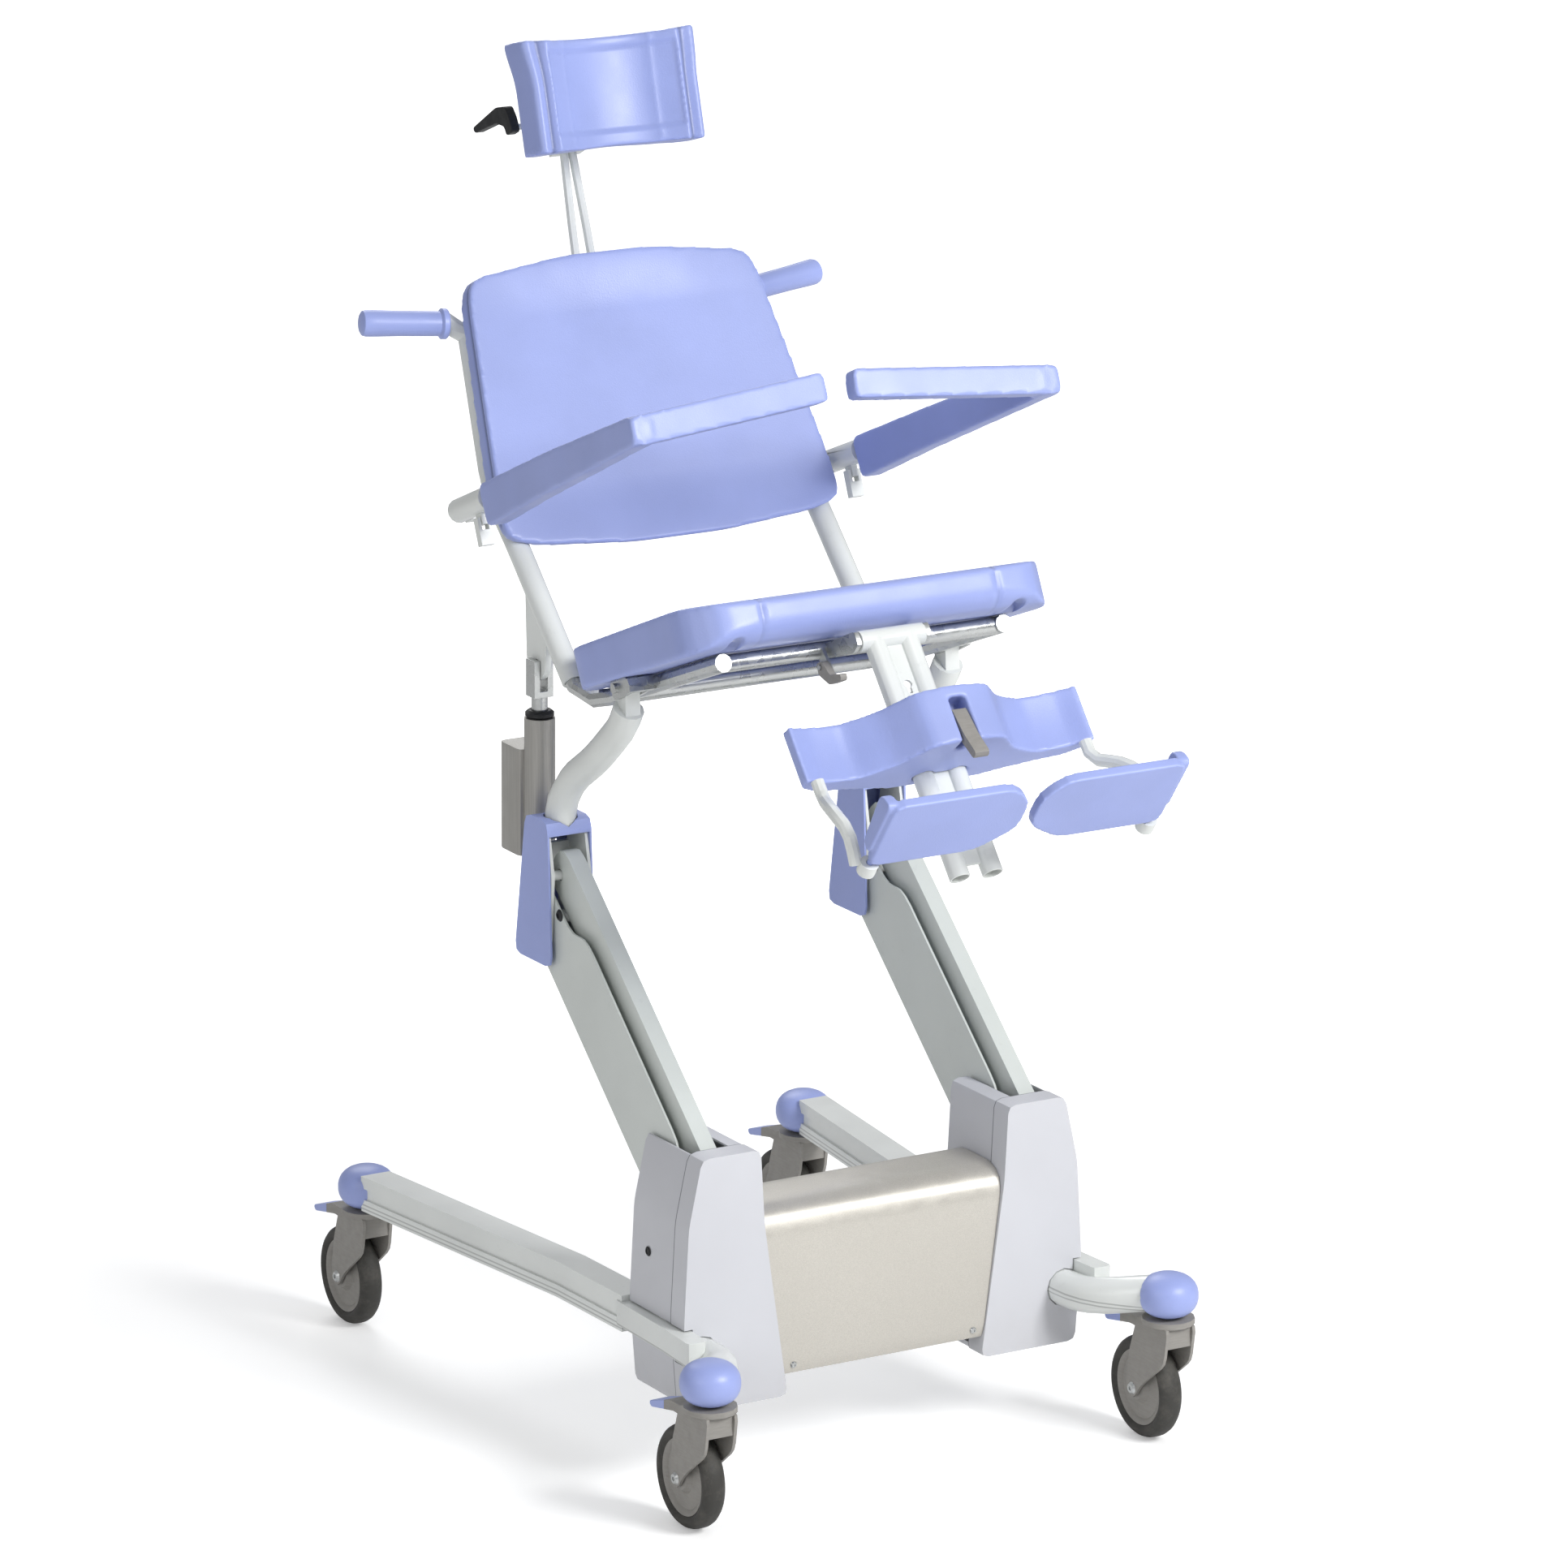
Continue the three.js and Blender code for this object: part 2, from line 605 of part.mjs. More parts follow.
// ---------- tilt actuator ----------
const ROD_PIN_AT_REST = {
  y: TILT_PIVOT.y + ROD_PIN.y * Math.cos(rad(SEAT_TILT)) + ROD_PIN.z * Math.sin(rad(SEAT_TILT)),
  z: TILT_PIVOT.z - ROD_PIN.y * Math.sin(rad(SEAT_TILT)) + ROD_PIN.z * Math.cos(rad(SEAT_TILT)),
};
const rodRun = [ROD_PIN_AT_REST.y - ACTUATOR_PIN.y, ROD_PIN_AT_REST.z - ACTUATOR_PIN.z];
const ROD_REACH = Math.hypot(...rodRun);
const ROD_TURN = Math.atan2(-rodRun[0], rodRun[1]);

// Drawn upright from the lower pin.
function actuatorBody() {
  const tube = round("z", CYLINDER_R, 12, CYLINDER_L, [0, 0]);
  const foot = block(-13, 13, -12, 12, -11, 14);
  const motor = prism(
    "z",
    [
      [-22, 10],
      [22, 10],
      [22, 62],
      [-22, 62],
    ],
    22,
    155,
    8,
  );
  return cut(
    join(foot, tube, motor),
    round("z", ROD_R + 0.6, 26, CYLINDER_L + 1, [0, 0]),
    block(-4.6, 4.6, -40, 14, -40, 18),
    bore("x", ROD_PIN_R, -40, 40, [0, 0], GAP, 16),
  );
}

function actuatorRod() {
  const shaft = round("z", ROD_R, 60, ROD_REACH - 32, [0, 0], 16);
  const yoke = block(-13, 13, -11, 11, ROD_REACH - 36, ROD_REACH + 10);
  const slot = block(-5, 5, -30, 30, ROD_REACH - 28, ROD_REACH + 40);
  const pin = round("x", ROD_PIN_R, -13, 13, [0, ROD_REACH], 16);
  return join(cut(join(shaft, yoke), slot), pin);
}

// ---------- seat unit, level, from the tilt pivot ----------
const under = (y) => UNDERSIDE.z + (y - UNDERSIDE.y) * UNDERSIDE.rise;
const railZ = (y) => under(y) - RAIL_R - 0.5;

const backTubeFoot = (z) => 209 + (z - 225) * 0.3404;
const railRoute = (s) => [
  [s * RAIL_X, -185, railZ(-185)],
  [s * RAIL_X, 96, railZ(96)],
  [s * BACK_TUBE_X, backTubeFoot(16), 16],
  [s * BACK_TUBE_X, backTubeFoot(98), 98],
];
const rail = (s, m = 0) => bentBar(railRoute(s), RAIL_R + m, 20, 12, 10);

function seatFrame() {
  const parts = [rail(1), rail(-1)];
  for (const y of [-172, 84]) {
    parts.push(straightBar([-RAIL_X, y, railZ(y)], [RAIL_X, y, railZ(y)], RAIL_R - 0.4));
  }
  const lugProfile = [
    [-32, -13],
    [12, -13],
    [15, 0],
    [10, 14],
    [-10, 14],
    [-32, 4],
  ];
  for (const s of [1, -1]) {
    for (const x of [ARM_X - EYE_W / 2 - LUG, ARM_X + EYE_W / 2]) {
      parts.push(prism("x", lugProfile, s * x, s * (x + LUG), 7));
    }
    const reach = ARM_X + EYE_W / 2 + LUG;
    parts.push(block(s * (RAIL_X - 4), s * reach, -31, -20, -12, 4));
    parts.push(round("x", TILT_PIN_R, s * (ARM_X - EYE_W / 2 - 2), s * (reach + 5), [0, 0], 16));
    const legLug = [
      [-168, railZ(-168) + 6],
      [-168, railZ(-168) - 8],
      [LEG_HINGE.y + 4, LEG_HINGE.z - 12],
      [LEG_HINGE.y - 11, LEG_HINGE.z - 6],
      [LEG_HINGE.y - 8, LEG_HINGE.z + 11],
    ];
    parts.push(prism("x", legLug, s * (LEG_HUB + 1), s * (LEG_HUB + 7), 4));
  }
  parts.push(round("x", LEG_PIN_R, -LEG_HUB - 7, LEG_HUB + 7, at(LEG_HINGE), 16));
  const leverLug = [
    [-166, railZ(-168)],
    [-184, railZ(-168)],
    [-194, LEVER_HINGE.z - 7],
    [-182, LEVER_HINGE.z - 7],
  ];
  parts.push(prism("x", leverLug, -58, -54));
  parts.push(round("x", 3, -70, -54, at(LEVER_HINGE), 12));
  return join(...parts);
}

function legLever() {
  const profile = [
    [LEVER_HINGE.y - 6, LEVER_HINGE.z + 6],
    [LEVER_HINGE.y + 7, LEVER_HINGE.z + 6],
    [LEVER_HINGE.y + 7, LEVER_HINGE.z - 8],
    [LEVER_HINGE.y - 12, LEVER_HINGE.z - 24],
    [LEVER_HINGE.y - 40, LEVER_HINGE.z - 26],
    [LEVER_HINGE.y - 42, LEVER_HINGE.z - 18],
    [LEVER_HINGE.y - 18, LEVER_HINGE.z - 14],
  ];
  return cut(prism("x", profile, -68, -59, 3), bore("x", 3, -90, 0, at(LEVER_HINGE), GAP, 12));
}

function seatPad() {
  const half = SEAT_W / 2;
  const edge = [
    [150, SEAT_FRONT],
    [half - 32, SEAT_FRONT + 6],
    [half, SEAT_FRONT + 48],
    [half, 66],
    [half - 26, 100],
    [188, 112],
    [182, 148],
    [150, SEAT_REAR],
  ];
  const plan = [...edge, ...edge.map(([x, y]) => [-x, y]).reverse()];
  const profile = [
    [SEAT_FRONT - 1, 38],
    [SEAT_FRONT + 2, 4],
    [SEAT_FRONT + 20, -9],
    [UNDERSIDE.y, under(UNDERSIDE.y)],
    [110, under(110)],
    [SEAT_REAR + 1, 41],
    [SEAT_REAR - 12, 76],
    [60, 66],
    [-200, 46],
  ];
  const solid = common(prism("z", plan, -60, 120, 16), prism("x", profile, -half - 1, half + 1, 8));
  const opening = prism(
    "z",
    [
      [90, -60],
      [90, 64],
      [-90, 64],
      [-90, -60],
      [-50, -118],
      [50, -118],
    ],
    -60,
    120,
    44,
    4,
  );
  const pockets = [1, -1].map((s) =>
    block(s * (ARM_X - 17), s * (ARM_X + 17), -36, 21, -40, EYE_R + 2.5),
  );
  return cut(solid, opening, ...pockets, rail(1, 0.5), rail(-1, 0.5));
}

const backTubeRoute = (s, low = 40) => [
  [s * BACK_TUBE_X, backTubeFoot(low), low],
  [s * BACK_TUBE_X, 209, 225],
  [s * BACK_TUBE_X, 240, 300],
  [s * BACK_TUBE_TOP.x, BACK_TUBE_TOP.y, BACK_TUBE_TOP.z],
  [s * (GRIP_END - 8), HANDLE_END.y, HANDLE_END.z],
];
const backTube = (s, m = 0) => bentBar(backTubeRoute(s), BACK_TUBE_R + m, BACK_TUBE_BEND, 18, 12);

// Point on the middle of a push handle.
const grip = (s, x) => {
  const { x: from, y, z } = BACK_TUBE_TOP;
  const share = (x - from) / (GRIP_END - 8 - from);
  return [s * x, y + (HANDLE_END.y - y) * share, z + (HANDLE_END.z - z) * share];
};

const headLineY = (z) => HEAD_LINE.y + (z - HEAD_LINE.z) * HEAD_LINE.slope;

function backFrame() {
  const crossTube = round("x", CROSS_TUBE_R, -BACK_TUBE_TOP.x, BACK_TUBE_TOP.x, at(CROSS_TUBE), 14);
  const guide = block(-22, 22, 258, 296, 484, 556);
  const bracket = prism(
    "x",
    [
      [172, 118],
      [198, 190],
      [ROD_PIN.y + 20, ROD_PIN.z + 16],
      [ROD_PIN.y + 18, ROD_PIN.z - 11],
      [ROD_PIN.y, ROD_PIN.z - 17],
      [ROD_PIN.y - 17, ROD_PIN.z - 11],
    ],
    ACTUATOR_X - 4,
    ACTUATOR_X + 4,
    6,
  );
  const eye = bore("x", ROD_PIN_R, ACTUATOR_X - 30, ACTUATOR_X + 30, at(ROD_PIN), ROD_SLACK, 16);
  const frame = join(backTube(1), backTube(-1), crossTube, guide, cut(bracket, eye));
  const rods = [1, -1].map((s) =>
    straightBar([s * HEAD_ROD_X, headLineY(420), 420], [s * HEAD_ROD_X, headLineY(600), 600], 6),
  );
  return cut(frame, rail(1, 0.4), rail(-1, 0.4), ...rods);
}

function backrest() {
  const [low, top] = [BACK_W_LOW / 2, BACK_W_TOP / 2];
  const edge = [
    [60, BACK_LOW_Z - 20],
    [low - 40, BACK_LOW_Z - 8],
    [low, BACK_LOW_Z + 4],
    [low - 4, BACK_LOW_Z + 60],
    [top + 2, BACK_TOP_Z - 26],
    [top - 8, BACK_TOP_Z],
    [60, BACK_TOP_Z + 17],
  ];
  const face = [...edge, ...edge.map(([x, z]) => [-x, z]).reverse()];
  const side = [
    [184, BACK_LOW_Z - 22],
    [192, BACK_LOW_Z - 22],
    [224, BACK_LOW_Z + 80],
    [236, BACK_TOP_Z - 30],
    [232, BACK_TOP_Z + 20],
    [210, BACK_TOP_Z + 20],
  ];
  const panel = common(prism("y", face, 0, 400, 18), prism("x", side, -300, 300, 4));
  return cut(panel, backTube(1, 0.4), backTube(-1, 0.4), strap(1), strap(-1));
}

function pushGrip() {
  const sleeve = straightBar(grip(1, GRIP_START), grip(1, GRIP_END), GRIP_R, 14);
  return cut(sleeve, backTube(1, GAP));
}

// ---------- armrests ----------
const armrestAxis = ARMREST_ROOT.clone().sub(ARMREST_CORNER).normalize();
const armrestTurn = new THREE.Quaternion().setFromUnitVectors(new THREE.Vector3(0, 1, 0), armrestAxis);
const ARMREST_L = ARMREST_ROOT.distanceTo(ARMREST_CORNER);
const alongArmrest = (geometry) =>
  geometry.applyQuaternion(armrestTurn).translate(...ARMREST_ROOT.toArray());

// Clearance round the strap that carries an armrest socket.
const strap = (s) => block(s * 205, s * 250, 224.5, 245.5, 266, 292);

function armrestSocket() {
  const sleeve = round("y", SOCKET_R, 1, SOCKET_L, [0, 0]);
  const ear = block(-4, 4, LATCH.y - 8, LATCH.y + 8, LATCH.z - 5, -10);
  const latchPin = bore("x", 2.5, -40, 40, at(LATCH), GAP, 12);
  const carrier = cut(block(213, 252, 225, 245, 267, 291), backTube(1, GAP + 0.1));
  return cut(
    join(carrier, alongArmrest(cut(join(sleeve, ear), latchPin))),
    alongArmrest(bore("y", SPIGOT_R, -10, 72, [0, 0])),
    block(0, BACK_TUBE_X, 100, 300, 200, 350),
  );
}

function armrest() {
  const side = prism(
    "x",
    [
      [0, 17],
      [-4, -36],
      [-150, -28],
      [-ARMREST_L, -ARMREST_H / 2],
      [-ARMREST_L, ARMREST_H / 2],
      [-200, 20],
    ],
    -ARMREST_W / 2,
    ARMREST_W / 2,
    9,
  );
  const depth = CROSSBAR_DEPTH / 2;
  const cross = prism(
    "y",
    [
      [-CROSSBAR_L, -ARMREST_H / 2],
      [10, -ARMREST_H / 2],
      [10, ARMREST_H / 2],
      [-CROSSBAR_L, ARMREST_H / 2],
    ],
    -depth,
    depth,
    7,
  );
  cross.rotateY(rad(5.6)).rotateZ(rad(-5)).translate(0, depth - ARMREST_L, 0);
  return alongArmrest(join(side, cross, round("y", SPIGOT_R, -20, 66, [0, 0])));
}

function armrestLatch() {
  const tab = cut(
    block(-9, 9, LATCH.y - 6, LATCH.y + 6, LATCH.z - 30, LATCH.z + 4),
    block(-4.5, 4.5, LATCH.y - 20, LATCH.y + 20, LATCH.z - 11, LATCH.z + 20),
  );
  return alongArmrest(join(tab, round("x", 2.5, -9, 9, at(LATCH), 12)));
}

// ---------- headrest ----------
function headStem() {
  const rods = [1, -1].map((s) =>
    bentBar(
      [
        [s * HEAD_ROD_X, headLineY(430), 430],
        [s * HEAD_ROD_X, headLineY(592), 592],
        [(s * HEAD_ROD_X) / 2, headLineY(714), 714],
      ],
      HEAD_ROD_R,
      12,
      6,
      8,
    ),
  );
  const { y, z } = HEAD_HINGE;
  const head = block(-21, 21, y - 10, y + 32, z - 34, z - 20);
  const cheek = [
    [y - 10, z - 26],
    [y + 14, z - 26],
    [y + 9, z + 9],
    [y - 9, z + 9],
  ];
  const cheeks = [-21, 15].map((x) => prism("x", cheek, x, x + 6, 5));
  return join(...rods, head, ...cheeks, round("x", 4, -HEAD_LEVER_X, 26, at(HEAD_HINGE), 14));
}

// Concave pad with raised side rolls, and the arm that carries it.
function headPad() {
  const half = HEAD_W / 2;
  const edge = [
    [half * 0.5, -8],
    [half - 14, -36],
    [half - 4, -30],
    [half, 12],
    [half - 24, 24],
    [half * 0.4, 24],
  ];
  const plan = [...edge, ...edge.map(([x, y]) => [-x, y]).reverse()];
  const cushion = prism("z", plan, -HEAD_H / 2, HEAD_H / 2, 8);
  cushion.rotateX(rad(HEAD_PAD.lean)).translate(0, HEAD_PAD.y, HEAD_PAD.z);
  const { y, z } = HEAD_HINGE;
  const carrier = block(-13, 13, HEAD_PAD.y + 14, y, z - 7, z + 7);
  const knuckle = round("x", 9, -13, 13, at(HEAD_HINGE), 16);
  return cut(join(cushion, carrier, knuckle), bore("x", 4, -60, 60, at(HEAD_HINGE), GAP, 14));
}

function headLever() {
  const { y, z } = HEAD_HINGE;
  const blade = [
    [y - 9, z - 8],
    [y - 9, z + 10],
    [y - 4, z + 26],
    [y + 20, z + 32],
    [y + 87.65, z + 27],
    [y + 85.65, z + 19],
    [y + 28, z + 14],
    [y + 9, z + 4],
    [y + 8, z - 8],
  ];
  return prism("x", blade, -HEAD_LEVER_X - HEAD_LEVER_W, -HEAD_LEVER_X - GAP, 4);
}

// ---------- leg rest, tubes upright from the hinge ----------
function legTubes() {
  const tubes = [1, -1].map((s) => {
    const bar = (from, to, r) => straightBar([s * LEG_TUBE_X, 0, from], [s * LEG_TUBE_X, 0, to], r, 12);
    return cut(bar(0, -LEG_TUBE_L, LEG_TUBE_R), bar(40 - LEG_TUBE_L, -LEG_TUBE_L - 5, LEG_TUBE_R - 2));
  });
  const keyholes = [-62, -92, -226, -258].map((z) =>
    join(round("y", 5, -20, 20, [0, z], 12), block(-2.5, 2.5, -20, 20, z - 12, z)),
  );
  const inner = LEG_TUBE_X - 6;
  const plate = cut(block(-inner, inner, -3, 1, 14 - LEG_TUBE_L, -10), ...keyholes);
  const hub = round("x", LEG_TUBE_R, -LEG_HUB, LEG_HUB, [0, 0], 16);
  return cut(join(...tubes, plate, hub), bore("x", LEG_PIN_R, -60, 60, [0, 0], GAP, 16));
}

// The calf pad slides on the tubes, which it clears in two grooves.
function calfPad() {
  const half = CALF_W / 2;
  const edge = [
    [14, -92],
    [48, -86],
    [80, -46],
    [120, -24],
    [half - 30, -28],
    [half, -40],
    [half - 4, -26],
    [160, -6],
    [56, 22],
  ];
  const plan = [...edge, ...edge.map(([x, y]) => [-x, y]).reverse()];
  const body = prism("z", plan, CALF_TOP - CALF_H, CALF_TOP, 9);
  const slot = block(-11, 11, -130, -66, CALF_TOP - CALF_H - 5, CALF_TOP - 14);
  const pin = round("x", 3, -13, 13, [-80, CALF_TOP - 34], 12);
  const grooves = [1, -1].map((s) =>
    round("z", LEG_TUBE_R + 0.9, -400, 0, [s * LEG_TUBE_X, 0], 12),
  );
  const plateWay = block(-LEG_TUBE_X, LEG_TUBE_X, -6, 4, -400, 0);
  return cut(join(cut(body, slot), pin), ...grooves, plateWay);
}

function calfLever() {
  const z = CALF_TOP - 34;
  const blade = [
    [-73, z + 7],
    [-87, z + 7],
    [-94, z - 30],
    [-104, z - 58],
    [-95, z - 62],
    [-82, z - 30],
  ];
  return cut(prism("x", blade, -9.5, 9.5, 4), bore("x", 3, -30, 30, [-80, z], GAP, 12));
}

// Places a solid drawn about a footplate's rear edge on the sloping plate.
const onFoot = (geometry) => geometry.rotateX(rad(-FOOT.slope)).translate(0, FOOT.y, FOOT.z);
const footPin = (m = 0) => [FOOT_HINGE.x, FOOT_HINGE.z + m];

function footHanger() {
  const top = CALF_TOP - CALF_H - GAP;
  const route = [
    [180, -36, top],
    [180, -36, top - 24],
    [200, -76, -230],
    [FOOT_HINGE.x + 18, -104, -272],
    [FOOT_HINGE.x + 12, -84, -304],
  ];
  const eye = onFoot(round("y", 11, 4, 20, footPin(), 16));
  const hanger = join(bentBar(route, HANGER_R, 24, 10, 10), eye);
  return cut(hanger, onFoot(bore("y", FOOT_PIN_R, -40, 40, footPin(), GAP, 14)));
}

function footplate() {
  const sole = prism(
    "z",
    [
      [FOOT_INNER, 26 - FOOT_L],
      [FOOT_INNER + 26, -FOOT_L],
      [FOOT_OUTER - 6, -FOOT_L],
      [FOOT_OUTER - 6, 0],
      [56, 0],
      [FOOT_INNER, -30],
    ],
    0,
    FOOT_T,
    14,
  );
  const rim = prism(
    "x",
    [
      [-FOOT_L, 4],
      [-20, 4],
      [-24, 20],
      [-FOOT_L + 6, 28],
    ],
    FOOT_OUTER - 14,
    FOOT_OUTER,
    8,
  );
  const pin = round("y", FOOT_PIN_R, -20, 24, footPin(), 14);
  return onFoot(join(sole, rim, pin));
}

// ---------- casters ----------
const FORK_TOP = CAP_Z - CAP_H / 2 - GAP;
const wheelZ = WHEEL_D / 2;

function casterCap() {
  const profile = [
    [0, -CAP_H / 2],
    [CAP_R - 8, -CAP_H / 2],
    [CAP_R - 1, -CAP_H / 2 + 9],
    [CAP_R, 4],
    [CAP_R - 6, CAP_H / 2 - 7],
    [CAP_R - 20, CAP_H / 2],
    [0, CAP_H / 2],
  ].map(([r, z]) => new THREE.Vector2(r, z));
  const knob = new THREE.LatheGeometry(profile, 16).rotateX(Math.PI / 2).translate(0, 0, CAP_Z);
  return cut(knob, bore("z", STEM_R, 0, CAP_Z + 5, [0, 0], GAP, 16));
}

function casterFork() {
  const inside = WHEEL_W / 2 + 1.5;
  const outside = inside + FORK_CHEEK;
  const crown = WHEEL_D + 5;
  const cheek = [
    [-30, FORK_TOP - 5],
    [36, FORK_TOP - 5],
    [54, crown - 24],
    [WHEEL_TRAIL + 13, wheelZ - 4],
    [WHEEL_TRAIL - 2, wheelZ - 14],
    [WHEEL_TRAIL - 18, wheelZ + 8],
    [-22, crown - 20],
  ];
  return join(
    ...[-outside, inside].map((x) => prism("x", cheek, x, x + FORK_CHEEK, 10)),
    block(-outside, outside, -24, 18, crown, FORK_TOP - 5),
    round("z", CAP_R - 4, FORK_TOP - 7, FORK_TOP, [0, 0]),
    round("z", STEM_R, FORK_TOP - 2, CAP_Z + 3, [0, 0], 16),
    round("x", AXLE_R, -outside, outside, [WHEEL_TRAIL, wheelZ]),
    round("x", PEDAL_PIN_R, -outside, outside, at(PEDAL_HINGE), 12),
  );
}

// The tread is flat across its middle and stands on one facet.
function casterWheel() {
  const sides = 20;
  const toCorner = 1 / Math.cos(Math.PI / sides);
  const r = WHEEL_D / 2;
  const w = WHEEL_W / 2;
  const half = [
    [r, 5],
    [r - 4, w - 3],
    [r - 12, w],
    [r - 16, w - 4],
    [20, w - 4],
    [16, w],
    [AXLE_R + GAP, w],
  ];
  const section = [...half.map(([a, x]) => [a, -x]).reverse(), ...half];
  const ring = [...section, section[0]].map(([a, x]) => new THREE.Vector2(a * toCorner, x));
  const disc = new THREE.LatheGeometry(ring, sides).rotateZ(-Math.PI / 2);
  return disc.rotateX(Math.PI / sides).translate(0, WHEEL_TRAIL, wheelZ);
}

function brakePedal() {
  const { y, z } = PEDAL_HINGE;
  const shape = [
    [y - 7, z - 6],
    [y - 7, z + 7],
    [y + 40, z + 8],
    [y + 92, z - 8],
    [y + 88, z - 15],
    [y + 34, z - 4],
  ];
  return cut(prism("x", shape, -14, 14, 4), bore("x", PEDAL_PIN_R, -30, 30, at(PEDAL_HINGE), GAP, 12));
}

// ---------- assembly ----------
const chair = new THREE.Group();
chair.add(
  piece("base_frame", baseFrame(), STEEL),
  piece("front_cover", frontCover(), CREAM),
  piece("battery_pack", battery(), BLACK),
  piece("lift_gearmotor", liftMotor(), STEEL),
  piece("lift_shaft", round("x", SHAFT_R, -plateEnd - 4, plateEnd + 4, at(LOWER_PIVOT)), STEEL),
);
for (const [word, side] of SIDES) {
  chair.add(
    piece(`housing_front_${word}`, forSide(housingFront(), side), WHITE_PLASTIC),
    piece(`housing_side_${word}`, forSide(housingSide(), side), WHITE_PLASTIC),
    piece(`side_member_${word}`, forSide(sideMember(), side), WHITE_METAL),
    piece(`lift_arm_${word}`, forSide(liftArm(), side), WHITE_METAL),
    piece(`parallel_link_${word}`, forSide(parallelLink(), side), WHITE_METAL),
    piece(`carriage_shell_${word}`, forSide(carriageShell(side), side), BLUE),
    piece(`seat_post_${word}`, forSide(seatPost(side), side), WHITE_METAL),
  );
}

for (const [end, sign] of [
  ["front", -1],
  ["rear", 1],
]) {
  for (const [word, side] of SIDES) {
    const label = `${end}_${word}`;
    const [x, y] = [(side * TRACK) / 2, (sign * WHEELBASE) / 2];
    const seat = forSide(end === "front" ? elbowBar(GAP) : legBar(GAP), side);
    chair.add(piece(`caster_cap_${label}`, cut(casterCap().translate(x, y, 0), seat), BLUE));
    const swivel = pivot(`pivot_swivel_${label}`, x, y, 0);
    swivel.add(
      piece(`caster_fork_${label}`, casterFork(), CASTER_GREY),
      piece(`caster_wheel_${label}`, casterWheel(), TYRE),
      piece(`brake_pedal_${label}`, brakePedal(), CASTER_GREY),
    );
    chair.add(swivel);
  }
}

const actuator = pivot("pivot_actuator", ACTUATOR_X, ACTUATOR_PIN.y, ACTUATOR_PIN.z);
actuator.rotation.x = ROD_TURN;
actuator.add(
  piece("tilt_actuator", actuatorBody(), GREY_METAL),
  piece("actuator_rod", actuatorRod(), STEEL),
);

const seat = pivot("pivot_tilt", 0, TILT_PIVOT.y, TILT_PIVOT.z, -SEAT_TILT);
seat.add(
  piece("seat_frame", seatFrame(), GREY_METAL),
  piece("leg_release_lever", legLever(), BLACK),
  piece("seat_pad", seatPad(), BLUE),
  piece("back_frame", backFrame(), WHITE_METAL),
  piece("backrest", backrest(), BLUE),
  piece("headrest_stem", headStem(), WHITE_METAL),
  piece("headrest_pad", headPad(), BLUE),
  piece("headrest_lever", headLever(), BLACK),
);
for (const [word, side] of SIDES) {
  seat.add(
    piece(`push_grip_${word}`, forSide(pushGrip(), side), BLUE),
    piece(`armrest_socket_${word}`, forSide(armrestSocket(), side), GREY_METAL),
    piece(`armrest_${word}`, forSide(armrest(), side), BLUE),
    piece(`armrest_latch_${word}`, forSide(armrestLatch(), side), GREY_METAL),
  );
}

const legRest = pivot("pivot_leg_rest", 0, LEG_HINGE.y, LEG_HINGE.z, -LEG_ANGLE);
legRest.add(
  piece("leg_tubes", legTubes(), WHITE_METAL),
  piece("calf_pad", calfPad(), BLUE),
  piece("calf_lever", calfLever(), BLACK),
);
for (const [word, side] of SIDES) {
  legRest.add(
    piece(`foot_hanger_${word}`, forSide(footHanger(), side), WHITE_METAL),
    piece(`footplate_${word}`, forSide(footplate(), side), BLUE),
  );
}
seat.add(legRest);
chair.add(actuator, seat);

// The frame's origin is the middle of the base of the whole box.
chair.updateMatrixWorld(true);
const bounds = new THREE.Box3().setFromObject(chair, true);
const middle = bounds.getCenter(new THREE.Vector3());
chair.position.set(-middle.x, -middle.y, -bounds.min.z);
chair.updateMatrixWorld(true);

export default chair;
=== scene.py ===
"""Finishes a height-adjustable hygiene chair on its CAD frame.

It makes the moulded pads, housings, casters, tubes, fasteners and the stage.
"""

import json
import math

import bmesh
import bpy
from mathutils import Matrix, Vector

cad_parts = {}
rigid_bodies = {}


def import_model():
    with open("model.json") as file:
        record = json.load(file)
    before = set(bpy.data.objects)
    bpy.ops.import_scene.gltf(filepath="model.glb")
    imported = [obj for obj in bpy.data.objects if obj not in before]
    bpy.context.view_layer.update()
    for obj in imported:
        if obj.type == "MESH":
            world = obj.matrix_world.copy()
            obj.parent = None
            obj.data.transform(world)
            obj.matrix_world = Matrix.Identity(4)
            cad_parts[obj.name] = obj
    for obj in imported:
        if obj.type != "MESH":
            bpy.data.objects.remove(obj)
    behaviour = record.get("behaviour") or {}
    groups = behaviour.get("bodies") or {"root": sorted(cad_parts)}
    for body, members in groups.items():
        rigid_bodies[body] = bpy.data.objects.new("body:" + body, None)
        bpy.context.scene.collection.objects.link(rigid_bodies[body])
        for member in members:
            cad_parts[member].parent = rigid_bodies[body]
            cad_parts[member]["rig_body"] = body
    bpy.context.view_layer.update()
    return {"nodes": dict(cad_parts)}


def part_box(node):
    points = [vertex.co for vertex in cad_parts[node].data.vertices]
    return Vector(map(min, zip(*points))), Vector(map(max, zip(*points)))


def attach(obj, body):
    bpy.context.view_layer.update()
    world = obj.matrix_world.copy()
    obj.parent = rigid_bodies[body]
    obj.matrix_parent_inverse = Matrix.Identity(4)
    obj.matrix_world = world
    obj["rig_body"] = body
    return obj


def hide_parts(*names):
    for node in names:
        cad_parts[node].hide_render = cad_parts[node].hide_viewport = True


for left_over in list(bpy.data.objects):
    bpy.data.objects.remove(left_over)
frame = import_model()

